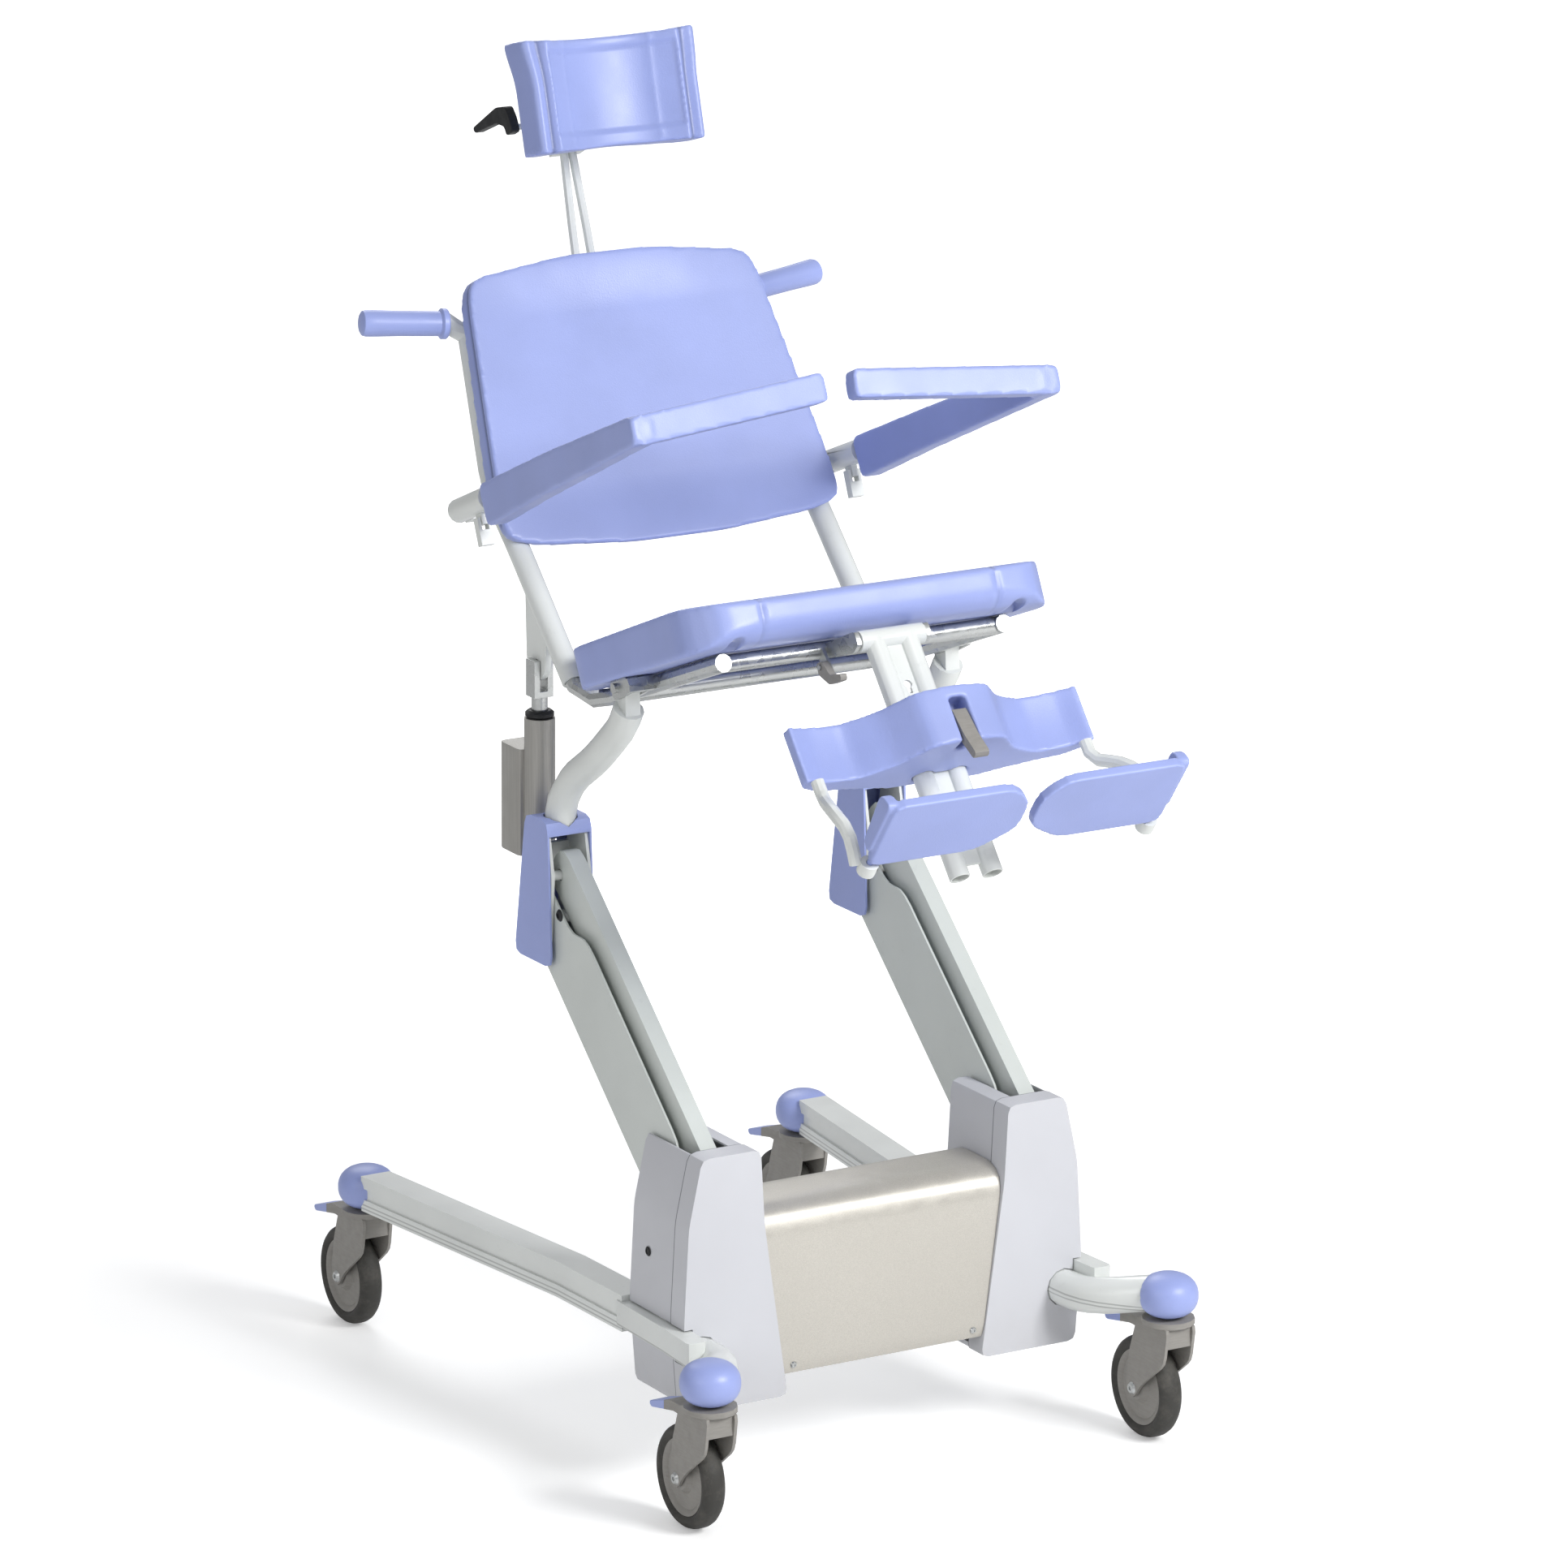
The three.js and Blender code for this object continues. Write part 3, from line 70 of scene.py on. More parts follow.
bl_info = {
    "name": "Hygiene chair",
    "version": (1, 0, 0),
    "blender": (4, 5, 0),
    "location": "View3D > Sidebar > Hygiene chair",
    "description": "Finishes a height-adjustable hygiene chair on its CAD frame",
    "category": "Object",
}

MM = 0.001
ON_AXIS = 1e-6  # a smaller radius is taken as none
SIDES = (("left", 1), ("right", -1))
CORNERS = [(end, side) for end in ("front", "rear") for side, _ in SIDES]

# Drawing frames of the seat unit, in millimetres about their own hinge.
SEAT_TILT = math.radians(26)
LEG_TILT = math.radians(13)
HEAD_TILT = math.radians(10.7)
SEAT_FRAME = (
    Matrix.Translation((0, -0.02527, 0.926))
    @ Matrix.Rotation(-SEAT_TILT, 4, "X")
    @ Matrix.Scale(MM, 4)
)
LEG_FRAME = (
    SEAT_FRAME @ Matrix.Translation((0, -243, -28)) @ Matrix.Rotation(-LEG_TILT, 4, "X")
)
HEAD_FRAME = (
    SEAT_FRAME @ Matrix.Translation((0, 124, 748)) @ Matrix.Rotation(HEAD_TILT, 4, "X")
)

CRISP_ANGLE = 35  # degrees; a sharper edge is eased on a hard part and stays crisp elsewhere
PAD_ANGLE = 60  # degrees; the same limit on a moulded pad
SIDE_GROOVES = (0.1715, 0.1765)  # heights of the grooves along the side members
HOUSING_SPLIT = -0.2183  # where the front housing meets the side housing
ARM_PIVOT = (0.1037, 0.6190)  # y and z of the joint at the top of the lift arms
ACTUATOR_FOOT = Vector((-0.209, 0.21173, 0.64))
ACTUATOR_HEAD = Vector((-0.209, 0.20802, 0.89789))
GLAND_UP = 0.1964  # from the actuator's foot to the gland on its rod
SWIVEL_TRAIL = 0.046  # a wheel's axle trails its swivel axis by this much
PEDAL_TIP = 0.034  # length of the blue end of a brake pedal
FORK_FACE = 0.0204  # half the width over a caster fork's cheeks
SEAT_RAIL_X, RAIL_GROOVE_R = 190, 11.6  # rails under the seat pad, in its drawing frame
CALF_TUBE_X, CALF_BORE_R = 22, 13.3  # tubes through the calf pad, in its drawing frame
FLOOR_HALF, FLOOR_DROP = 14, 0.0005

CAMERA_TURN, CAMERA_RISE = math.radians(-30.311), math.radians(14.953)
CAMERA_MIDDLE = Vector((0, 0.04573, 0.9))
CAMERA_RIGHT, CAMERA_DOWN, CAMERA_AWAY = 0.02993, 0.1332, 9.6066
LENS, SENSOR = 185.09, 36
LAMPS = (  # name, place, watts, size
    ("key", (1.5, -4.2, 3.4), 225, 1.7),
    ("fill", (-4.2, -1.6, 2.4), 34, 2.4),
    ("back", (0.8, 3.6, 3.4), 60, 2.4),
)
LAMP_AIM = Vector((0, 0, 0.8))


# ---------- sizes and colours a user would change ----------
def length(name, description, default):
    return bpy.props.FloatProperty(
        name=name,
        description=description,
        default=default,
        min=0,
        subtype="DISTANCE",
        unit="LENGTH",
    )


def colour(name, description, default):
    return bpy.props.StringProperty(name=name, description=description, default=default)


class ChairSizes(bpy.types.PropertyGroup):
    pad_grid: length("Pad grid", "Spacing of the surface points on the large pads", 0.0035)
    small_grid: length("Small pad grid", "Spacing of the surface points on small mouldings", 0.0025)
    edge: length("Edge radius", "Width of the eased edges on metal and hard plastic", 0.0012)
    back_dish: length("Back dish", "How far the middle of the backrest sinks", 0.007)
    seat_dish: length("Seat dish", "How far the middle of the seat sinks", 0.006)
    screw_head: length("Screw head", "Radius of the cover screws", 0.0042)
    bolt_head: length("Bolt head", "Radius of the bolts in the lift arms", 0.0075)


class ChairColours(bpy.types.PropertyGroup):
    blue: colour("Moulded blue", "Integral-skin foam and blue mouldings", "#98a5db")
    housing: colour("Housing", "Textured ABS of the lower housings", "#cbccd1")
    cover: colour("Cover", "Metallic paint of the front cover", "#ccc8bf")
    tube: colour("Tube", "Powder coat on the tubes", "#dfe2df")
    arm: colour("Lift arm", "Powder coat on the lift arms and links", "#cdd2ce")
    caster: colour("Caster", "Glass-filled nylon of the casters", "#928f8a")
    tyre: colour("Tyre", "Polyurethane of the tyres", "#3f3e3b")
    black: colour("Black", "Levers and plugs", "#1d1e20")
    actuator: colour("Actuator", "Anodised housing of the tilt actuator", "#a8a6a1")
    steel: colour("Steel", "Bright zinc-plated steel", "#c6c8c7")


# ---------- materials ----------
# A Mix node of colours takes them at inputs 6 and 7, and gives the result at output 2.
def linear(code):
    """An sRGB hex colour as the linear RGBA that a shader socket takes."""
    parts = [int(code[i : i + 2], 16) / 255 for i in (1, 3, 5)]
    return [c / 12.92 if c <= 0.04045 else ((c + 0.055) / 1.055) ** 2.4 for c in parts] + [1.0]


def shaded(code, amount):
    """The colour made lighter (above 1) or darker (below 1)."""
    return [min(1.0, c * amount) for c in linear(code)[:3]] + [1.0]


def add_node(tree, kind, inputs=(), **settings):
    """One node with its settings, and its inputs linked or set."""
    node = tree.nodes.new(kind)
    for key, value in settings.items():
        setattr(node, key, value)
    for key, value in dict(inputs).items():
        if isinstance(value, bpy.types.NodeSocket):
            tree.links.new(value, node.inputs[key])
        else:
            node.inputs[key].default_value = value
    return node


def new_material(name, fixed):
    """A material with its Principled shader; fixed gives the sockets that are the same all over."""
    material = bpy.data.materials.new(name)
    material.use_nodes = True
    tree = material.node_tree
    shader = tree.nodes["Principled BSDF"]
    for key, value in fixed.items():
        shader.inputs[key].default_value = value
    where = add_node(tree, "ShaderNodeTexCoord").outputs["Object"]
    return material, tree, shader, where


def drive(tree, shader, **links):
    """Links the patterns that a material is made of to its shader."""
    names = {"colour": "Base Color", "rough": "Roughness", "normal": "Normal"}
    for key, socket in links.items():
        tree.links.new(socket, shader.inputs[names[key]])


# Integral-skin foam: the pebbled skin breaks up the highlights; a painted highlight makes the
# convex edges paler, and painted shade darkens the hollows and the grooves.
def skin_foam(code):
    material, tree, shader, where = new_material(
        "integral_skin_foam",
        {"Coat Weight": 0.12, "Coat Roughness": 0.32},
    )
    cloud = add_node(
        tree,
        "ShaderNodeMapRange",
        {
            "Value": add_node(
                tree,
                "ShaderNodeTexNoise",
                {"Vector": where, "Scale": 7.0, "Detail": 4.0},
            ).outputs["Fac"],
            "From Min": 0.3,
            "From Max": 0.7,
            "To Min": 0.0,
            "To Max": 1.0,
        },
        interpolation_type="SMOOTHSTEP",
    ).outputs["Result"]
    tint = add_node(
        tree,
        "ShaderNodeMix",
        {"Factor": cloud, 6: shaded(code, 0.95), 7: shaded(code, 1.05)},
        data_type="RGBA",
    ).outputs[2]
    ridge = add_node(tree, "ShaderNodeNewGeometry").outputs["Pointiness"]
    # painted highlight: convex edges, found by pointiness, are made paler
    edge_highlight = add_node(
        tree,
        "ShaderNodeMapRange",
        {"Value": ridge, "From Min": 0.505, "From Max": 0.56, "To Min": 0.0, "To Max": 0.35},
        interpolation_type="SMOOTHSTEP",
    ).outputs["Result"]
    tint = add_node(
        tree,
        "ShaderNodeMix",
        {"Factor": edge_highlight, 6: tint, 7: shaded(code, 1.28)},
        data_type="RGBA",
    ).outputs[2]
    # painted shade: concave places, found by pointiness, are darkened
    hollow_shade = add_node(
        tree,
        "ShaderNodeMapRange",
        {"Value": ridge, "From Min": 0.44, "From Max": 0.495, "To Min": 0.45, "To Max": 0.0},
        interpolation_type="SMOOTHSTEP",
    ).outputs["Result"]
    tint = add_node(
        tree,
        "ShaderNodeMix",
        {"Factor": hollow_shade, 6: tint, 7: shaded(code, 0.55)},
        data_type="RGBA",
    ).outputs[2]
    # painted shade: the groove amount given by the pad shapes darkens the grooves and creases
    shaded_groove = add_node(tree, "ShaderNodeAttribute", attribute_name="shaded_groove").outputs["Fac"]
    tint = add_node(
        tree,
        "ShaderNodeMix",
        {
            "Factor": add_node(
                tree,
                "ShaderNodeMapRange",
                {"Value": shaded_groove, "From Min": 0.15, "From Max": 0.9, "To Min": 0.0, "To Max": 0.75},
                interpolation_type="SMOOTHSTEP",
            ).outputs["Result"],
            6: tint,
            7: shaded(code, 0.42),
        },
        data_type="RGBA",
    ).outputs[2]
    speck = add_node(
        tree,
        "ShaderNodeMapRange",
        {
            "Value": add_node(
                tree,
                "ShaderNodeTexNoise",
                {"Vector": where, "Scale": 260.0, "Detail": 2.0},
            ).outputs["Fac"],
            "From Min": 0.62,
            "From Max": 0.75,
            "To Min": 0.0,
            "To Max": 0.1,
        },
        interpolation_type="SMOOTHSTEP",
    ).outputs["Result"]
    tint = add_node(
        tree,
        "ShaderNodeMix",
        {"Factor": speck, 6: tint, 7: shaded(code, 0.8)},
        data_type="RGBA",
    ).outputs[2]
    rough = add_node(
        tree,
        "ShaderNodeMapRange",
        {
            "Value": add_node(
                tree,
                "ShaderNodeTexNoise",
                {"Vector": where, "Scale": 18.0, "Detail": 5.0},
            ).outputs["Fac"],
            "From Min": 0.25,
            "From Max": 0.75,
            "To Min": 0.37,
            "To Max": 0.48,
        },
        interpolation_type="SMOOTHSTEP",
    ).outputs["Result"]
    pebble = add_node(
        tree,
        "ShaderNodeTexVoronoi",
        {"Vector": where, "Scale": 620.0},
        feature="SMOOTH_F1",
    )
    skin = add_node(
        tree,
        "ShaderNodeBump",
        {"Height": pebble.outputs["Distance"], "Distance": 0.0003, "Strength": 0.35},
    ).outputs["Normal"]
    sag = add_node(
        tree,
        "ShaderNodeBump",
        {
            "Height": add_node(
                tree,
                "ShaderNodeTexNoise",
                {"Vector": where, "Scale": 14.0, "Detail": 2.0},
            ).outputs["Fac"],
            "Distance": 0.0012,
            "Strength": 0.3,
            "Normal": skin,
        },
    ).outputs["Normal"]
    drive(tree, shader, colour=tint, rough=rough, normal=sag)
    return material


# Spark-eroded ABS: a fine even texture takes the gloss off the big pale housings.
def textured_abs(code):
    material, tree, shader, where = new_material("textured_abs", {"Specular IOR Level": 0.45})
    cloud = add_node(
        tree,
        "ShaderNodeMapRange",
        {
            "Value": add_node(
                tree,
                "ShaderNodeTexNoise",
                {"Vector": where, "Scale": 4.0, "Detail": 3.0},
            ).outputs["Fac"],
            "From Min": 0.3,
            "From Max": 0.7,
            "To Min": 0.0,
            "To Max": 1.0,
        },
        interpolation_type="SMOOTHSTEP",
    ).outputs["Result"]
    tint = add_node(
        tree,
        "ShaderNodeMix",
        {"Factor": cloud, 6: shaded(code, 0.975), 7: shaded(code, 1.02)},
        data_type="RGBA",
    ).outputs[2]
    height = add_node(tree, "ShaderNodeSeparateXYZ", {"Vector": where}).outputs["Z"]
    dust = add_node(
        tree,
        "ShaderNodeMapRange",
        {"Value": height, "From Min": 0.1, "From Max": 0.2, "To Min": 0.22, "To Max": 0.0},
        interpolation_type="SMOOTHSTEP",
    ).outputs["Result"]
    patchy = add_node(
        tree,
        "ShaderNodeMath",
        {
            0: dust,
            1: add_node(
                tree,
                "ShaderNodeTexNoise",
                {"Vector": where, "Scale": 30.0, "Detail": 5.0},
            ).outputs["Fac"],
        },
        operation="MULTIPLY",
    ).outputs[0]
    tint = add_node(
        tree,
        "ShaderNodeMix",
        {"Factor": patchy, 6: tint, 7: linear("#a5a29b")},
        data_type="RGBA",
    ).outputs[2]
    # painted shade: a dark line along the gap where the front housing meets the side housing
    depth = add_node(tree, "ShaderNodeSeparateXYZ", {"Vector": where}).outputs["Y"]
    off_seam = add_node(
        tree,
        "ShaderNodeMath",
        {0: depth, 1: HOUSING_SPLIT},
        operation="SUBTRACT",
    ).outputs[0]
    off_seam = add_node(tree, "ShaderNodeMath", {0: off_seam}, operation="ABSOLUTE").outputs[0]
    tint = add_node(
        tree,
        "ShaderNodeMix",
        {
            "Factor": add_node(
                tree,
                "ShaderNodeMapRange",
                {
                    "Value": off_seam,
                    "From Min": 0.0009,
                    "From Max": 0.0019,
                    "To Min": 0.8,
                    "To Max": 0.0,
                },
                interpolation_type="SMOOTHSTEP",
            ).outputs["Result"],
            6: tint,
            7: linear("#4c4f59"),
        },
        data_type="RGBA",
    ).outputs[2]
    rough = add_node(
        tree,
        "ShaderNodeMapRange",
        {
            "Value": add_node(
                tree,
                "ShaderNodeTexNoise",
                {"Vector": where, "Scale": 45.0, "Detail": 4.0},
            ).outputs["Fac"],
            "From Min": 0.3,
            "From Max": 0.7,
            "To Min": 0.38,
            "To Max": 0.5,
        },
        interpolation_type="SMOOTHSTEP",
    ).outputs["Result"]
    grain = add_node(
        tree,
        "ShaderNodeBump",
        {
            "Height": add_node(
                tree,
                "ShaderNodeTexNoise",
                {"Vector": where, "Scale": 1500.0, "Detail": 2.0},
            ).outputs["Fac"],
            "Distance": 0.0002,
            "Strength": 0.4,
        },
    ).outputs["Normal"]
    drive(tree, shader, colour=tint, rough=rough, normal=grain)
    return material


# Metallic paint: small flakes glint in it, and a wide soft highlight runs along the rounded top.
def champagne_paint(code):
    material, tree, shader, where = new_material(
        "champagne_metallic_paint", {"Metallic": 0.55, "Coat Weight": 0.35, "Coat Roughness": 0.18}
    )
    flakes = add_node(tree, "ShaderNodeTexVoronoi", {"Vector": where, "Scale": 1800.0})
    glint = add_node(
        tree,
        "ShaderNodeSeparateColor",
        {"Color": flakes.outputs["Color"]},
    ).outputs["Red"]
    tint = add_node(
        tree,
        "ShaderNodeMix",
        {"Factor": glint, 6: shaded(code, 0.9), 7: shaded(code, 1.1)},
        data_type="RGBA",
    ).outputs[2]
    cloud = add_node(
        tree,
        "ShaderNodeMapRange",
        {
            "Value": add_node(
                tree,
                "ShaderNodeTexNoise",
                {"Vector": where, "Scale": 5.0, "Detail": 3.0},
            ).outputs["Fac"],
            "From Min": 0.35,
            "From Max": 0.65,
            "To Min": 0.0,
            "To Max": 0.25,
        },
        interpolation_type="SMOOTHSTEP",
    ).outputs["Result"]
    tint = add_node(
        tree,
        "ShaderNodeMix",
        {"Factor": cloud, 6: tint, 7: shaded(code, 0.93)},
        data_type="RGBA",
    ).outputs[2]
    rough = add_node(
        tree,
        "ShaderNodeMapRange",
        {
            "Value": add_node(
                tree,
                "ShaderNodeTexNoise",
                {"Vector": where, "Scale": 60.0, "Detail": 4.0},
            ).outputs["Fac"],
            "From Min": 0.3,
            "From Max": 0.7,
            "To Min": 0.34,
            "To Max": 0.42,
        },
        interpolation_type="SMOOTHSTEP",
    ).outputs["Result"]
    peel = add_node(
        tree,
        "ShaderNodeBump",
        {
            "Height": add_node(
                tree,
                "ShaderNodeTexNoise",
                {"Vector": where, "Scale": 320.0, "Detail": 2.0},
            ).outputs["Fac"],
            "Distance": 0.0002,
            "Strength": 0.25,
        },
    ).outputs["Normal"]
    drive(tree, shader, colour=tint, rough=rough, normal=peel)
    return material


# Powder coat: a fine orange peel ripples the long highlights, and scuffs dull it in places.
def powder_coat(code, name="powder_coat", groove_heights=()):
    gloss = {"Coat Weight": 0.25, "Coat Roughness": 0.2}
    if groove_heights:  # a glossier, drawn bar
        gloss = {"Coat Weight": 0.6, "Coat Roughness": 0.1}
    material, tree, shader, where = new_material(name, gloss)
    cloud = add_node(
        tree,
        "ShaderNodeMapRange",
        {
            "Value": add_node(
                tree,
                "ShaderNodeTexNoise",
                {"Vector": where, "Scale": 6.0, "Detail": 3.0},
            ).outputs["Fac"],
            "From Min": 0.3,
            "From Max": 0.7,
            "To Min": 0.0,
            "To Max": 1.0,
        },
        interpolation_type="SMOOTHSTEP",
    ).outputs["Result"]
    tint = add_node(
        tree,
        "ShaderNodeMix",
        {"Factor": cloud, 6: shaded(code, 0.97), 7: shaded(code, 1.03)},
        data_type="RGBA",
    ).outputs[2]
    scuff = add_node(
        tree,
        "ShaderNodeMapRange",
        {
            "Value": add_node(
                tree,
                "ShaderNodeTexNoise",
                {"Vector": where, "Scale": 75.0, "Detail": 7.0, "Roughness": 0.65},
            ).outputs["Fac"],
            "From Min": 0.6,
            "From Max": 0.72,
            "To Min": 0.0,
            "To Max": 0.35,
        },
        interpolation_type="SMOOTHSTEP",
    ).outputs["Result"]
    tint = add_node(
        tree,
        "ShaderNodeMix",
        {"Factor": scuff, 6: tint, 7: shaded(code, 0.86)},
        data_type="RGBA",
    ).outputs[2]
    rough = add_node(
        tree,
        "ShaderNodeMapRange",
        {
            "Value": add_node(
                tree,
                "ShaderNodeTexNoise",
                {"Vector": where, "Scale": 22.0, "Detail": 5.0},
            ).outputs["Fac"],
            "From Min": 0.3,
            "From Max": 0.7,
            "To Min": 0.28,
            "To Max": 0.42,
        },
        interpolation_type="SMOOTHSTEP",
    ).outputs["Result"]
    normal = add_node(
        tree,
        "ShaderNodeBump",
        {
            "Height": add_node(
                tree,
                "ShaderNodeTexNoise",
                {"Vector": where, "Scale": 420.0, "Detail": 2.0},
            ).outputs["Fac"],
            "Distance": 0.0003,
            "Strength": 0.3,
        },
    ).outputs["Normal"]
    height = add_node(tree, "ShaderNodeSeparateXYZ", {"Vector": where}).outputs["Z"]
    # painted shade: a dark line along each groove of the side members
    for level in groove_heights:
        away = add_node(tree, "ShaderNodeMath", {0: height, 1: -level}, operation="ADD").outputs[0]
        away = add_node(tree, "ShaderNodeMath", {0: away}, operation="ABSOLUTE").outputs[0]
        groove_shade_line = add_node(
            tree,
            "ShaderNodeMapRange",
            {"Value": away, "From Min": 0.0006, "From Max": 0.0013, "To Min": 0.7, "To Max": 0.0},
            interpolation_type="SMOOTHSTEP",
        ).outputs["Result"]
        tint = add_node(
            tree,
            "ShaderNodeMix",
            {"Factor": groove_shade_line, 6: tint, 7: shaded(code, 0.45)},
            data_type="RGBA",
        ).outputs[2]
    drive(tree, shader, colour=tint, rough=rough, normal=normal)
    return material


# Glass-filled nylon: flow marks and a slight speckle, as on moulded caster forks.
def filled_nylon(code, name="glass_filled_nylon"):
    material, tree, shader, where = new_material(name, {"Specular IOR Level": 0.4})
    stretched = add_node(tree, "ShaderNodeMapping", {"Vector": where, "Scale": (60.0, 60.0, 400.0)})
    flow = add_node(
        tree,
        "ShaderNodeMapRange",
        {
            "Value": add_node(
                tree,
                "ShaderNodeTexNoise",
                {"Vector": stretched.outputs["Vector"], "Scale": 1.0, "Detail": 4.0},
            ).outputs["Fac"],
            "From Min": 0.35,
            "From Max": 0.7,
            "To Min": 0.0,
            "To Max": 1.0,
        },
        interpolation_type="SMOOTHSTEP",
    ).outputs["Result"]
    tint = add_node(
        tree,
        "ShaderNodeMix",
        {"Factor": flow, 6: shaded(code, 0.96), 7: shaded(code, 1.04)},
        data_type="RGBA",
    ).outputs[2]
    dirt = add_node(
        tree,
        "ShaderNodeMapRange",
        {
            "Value": add_node(
                tree,
                "ShaderNodeTexNoise",
                {"Vector": where, "Scale": 55.0, "Detail": 6.0, "Roughness": 0.7},
            ).outputs["Fac"],
            "From Min": 0.52,
            "From Max": 0.72,
            "To Min": 0.0,
            "To Max": 0.2,
        },
        interpolation_type="SMOOTHSTEP",
    ).outputs["Result"]
    tint = add_node(
        tree,
        "ShaderNodeMix",
        {"Factor": dirt, 6: tint, 7: shaded(code, 0.62)},
        data_type="RGBA",
    ).outputs[2]
    rough = add_node(
        tree,
        "ShaderNodeMapRange",
        {
            "Value": add_node(
                tree,
                "ShaderNodeTexNoise",
                {"Vector": where, "Scale": 90.0, "Detail": 4.0},
            ).outputs["Fac"],
            "From Min": 0.3,
            "From Max": 0.7,
            "To Min": 0.42,
            "To Max": 0.6,
        },
        interpolation_type="SMOOTHSTEP",
    ).outputs["Result"]
    grain = add_node(
        tree,
        "ShaderNodeBump",
        {
            "Height": add_node(
                tree,
                "ShaderNodeTexNoise",
                {"Vector": where, "Scale": 1100.0, "Detail": 3.0},
            ).outputs["Fac"],
            "Distance": 0.0003,
            "Strength": 0.35,
        },
    ).outputs["Normal"]
    drive(tree, shader, colour=tint, rough=rough, normal=grain)
    return material


# Polyurethane tyre: matt, with floor dust worked into the tread.
def tyre_rubber(code):
    material, tree, shader, where = new_material("polyurethane_tyre", {"Specular IOR Level": 0.3})
    dust = add_node(
        tree,
        "ShaderNodeMapRange",
        {
            "Value": add_node(
                tree,
                "ShaderNodeTexNoise",
                {"Vector": where, "Scale": 40.0, "Detail": 6.0, "Roughness": 0.7},
            ).outputs["Fac"],
            "From Min": 0.45,
            "From Max": 0.75,
            "To Min": 0.0,
            "To Max": 0.5,
        },
        interpolation_type="SMOOTHSTEP",
    ).outputs["Result"]
    tint = add_node(
        tree,
        "ShaderNodeMix",
        {"Factor": dust, 6: linear(code), 7: linear("#6a6762")},
        data_type="RGBA",
    ).outputs[2]
    rough = add_node(
        tree,
        "ShaderNodeMapRange",
        {"Value": dust, "From Min": 0.0, "From Max": 0.5, "To Min": 0.55, "To Max": 0.8},
        interpolation_type="SMOOTHSTEP",
    ).outputs["Result"]
    grain = add_node(
        tree,
        "ShaderNodeBump",
        {
            "Height": add_node(
                tree,
                "ShaderNodeTexNoise",
                {"Vector": where, "Scale": 700.0, "Detail": 4.0},
            ).outputs["Fac"],
            "Distance": 0.0004,
            "Strength": 0.4,
        },
    ).outputs["Normal"]
    drive(tree, shader, colour=tint, rough=rough, normal=grain)
    return material


# Anodised extrusion: faint draw lines run up the actuator.
def anodised(code):
    material, tree, shader, where = new_material("anodised_aluminium", {"Metallic": 0.55})
    drawn = add_node(tree, "ShaderNodeMapping", {"Vector": where, "Scale": (900.0, 900.0, 6.0)})
    lines = add_node(
        tree,
        "ShaderNodeTexNoise",
        {"Vector": drawn.outputs["Vector"], "Scale": 1.0, "Detail": 3.0},
    ).outputs["Fac"]
    tint = add_node(
        tree,
        "ShaderNodeMix",
        {
            "Factor": add_node(
                tree,
                "ShaderNodeMapRange",
                {"Value": lines, "From Min": 0.3, "From Max": 0.7, "To Min": 0.0, "To Max": 1.0},
                interpolation_type="SMOOTHSTEP",
            ).outputs["Result"],
            6: shaded(code, 0.9),
            7: shaded(code, 1.08),
        },
        data_type="RGBA",
    ).outputs[2]
    rough = add_node(
        tree,
        "ShaderNodeMapRange",
        {
            "Value": add_node(
                tree,
                "ShaderNodeTexNoise",
                {"Vector": where, "Scale": 30.0, "Detail": 4.0},
            ).outputs["Fac"],
            "From Min": 0.3,
            "From Max": 0.7,
            "To Min": 0.34,
            "To Max": 0.46,
        },
        interpolation_type="SMOOTHSTEP",
    ).outputs["Result"]
    drive(
        tree,
        shader,
        colour=tint,
        rough=rough,
        normal=add_node(
            tree,
            "ShaderNodeBump",
            {"Height": lines, "Distance": 0.0002, "Strength": 0.3},
        ).outputs["Normal"],
    )
    return material


# Zinc plate: a bright metal with a cloudy grain and fine brushed lines.
def zinc_plate(code):
    material, tree, shader, where = new_material("zinc_plated_steel", {"Metallic": 0.9})
    spangle = add_node(tree, "ShaderNodeTexVoronoi", {"Vector": where, "Scale": 90.0})
    grain = add_node(
        tree,
        "ShaderNodeSeparateColor",
        {"Color": spangle.outputs["Color"]},
    ).outputs["Red"]
    tint = add_node(
        tree,
        "ShaderNodeMix",
        {"Factor": grain, 6: shaded(code, 0.94), 7: shaded(code, 1.05)},
        data_type="RGBA",
    ).outputs[2]
    stain = add_node(
        tree,
        "ShaderNodeMapRange",
        {
            "Value": add_node(
                tree,
                "ShaderNodeTexNoise",
                {"Vector": where, "Scale": 24.0, "Detail": 6.0, "Roughness": 0.65},
            ).outputs["Fac"],
            "From Min": 0.55,
            "From Max": 0.75,
            "To Min": 0.0,
            "To Max": 0.2,
        },
        interpolation_type="SMOOTHSTEP",
    ).outputs["Result"]
    tint = add_node(
        tree,
        "ShaderNodeMix",
        {"Factor": stain, 6: tint, 7: shaded(code, 0.75)},
        data_type="RGBA",
    ).outputs[2]
    brushed = add_node(tree, "ShaderNodeMapping", {"Vector": where, "Scale": (30.0, 900.0, 900.0)})
    lines = add_node(
        tree,
        "ShaderNodeTexNoise",
        {"Vector": brushed.outputs["Vector"], "Scale": 1.0, "Detail": 2.0},
    ).outputs["Fac"]
    rough = add_node(
        tree,
        "ShaderNodeMapRange",
        {"Value": grain, "From Min": 0.0, "From Max": 1.0, "To Min": 0.24, "To Max": 0.38},
        interpolation_type="SMOOTHSTEP",
    ).outputs["Result"]
    drive(
        tree,
        shader,
        colour=tint,
        rough=rough,
        normal=add_node(
            tree,
            "ShaderNodeBump",
            {"Height": lines, "Distance": 0.0002, "Strength": 0.25},
        ).outputs["Normal"],
    )
    return material


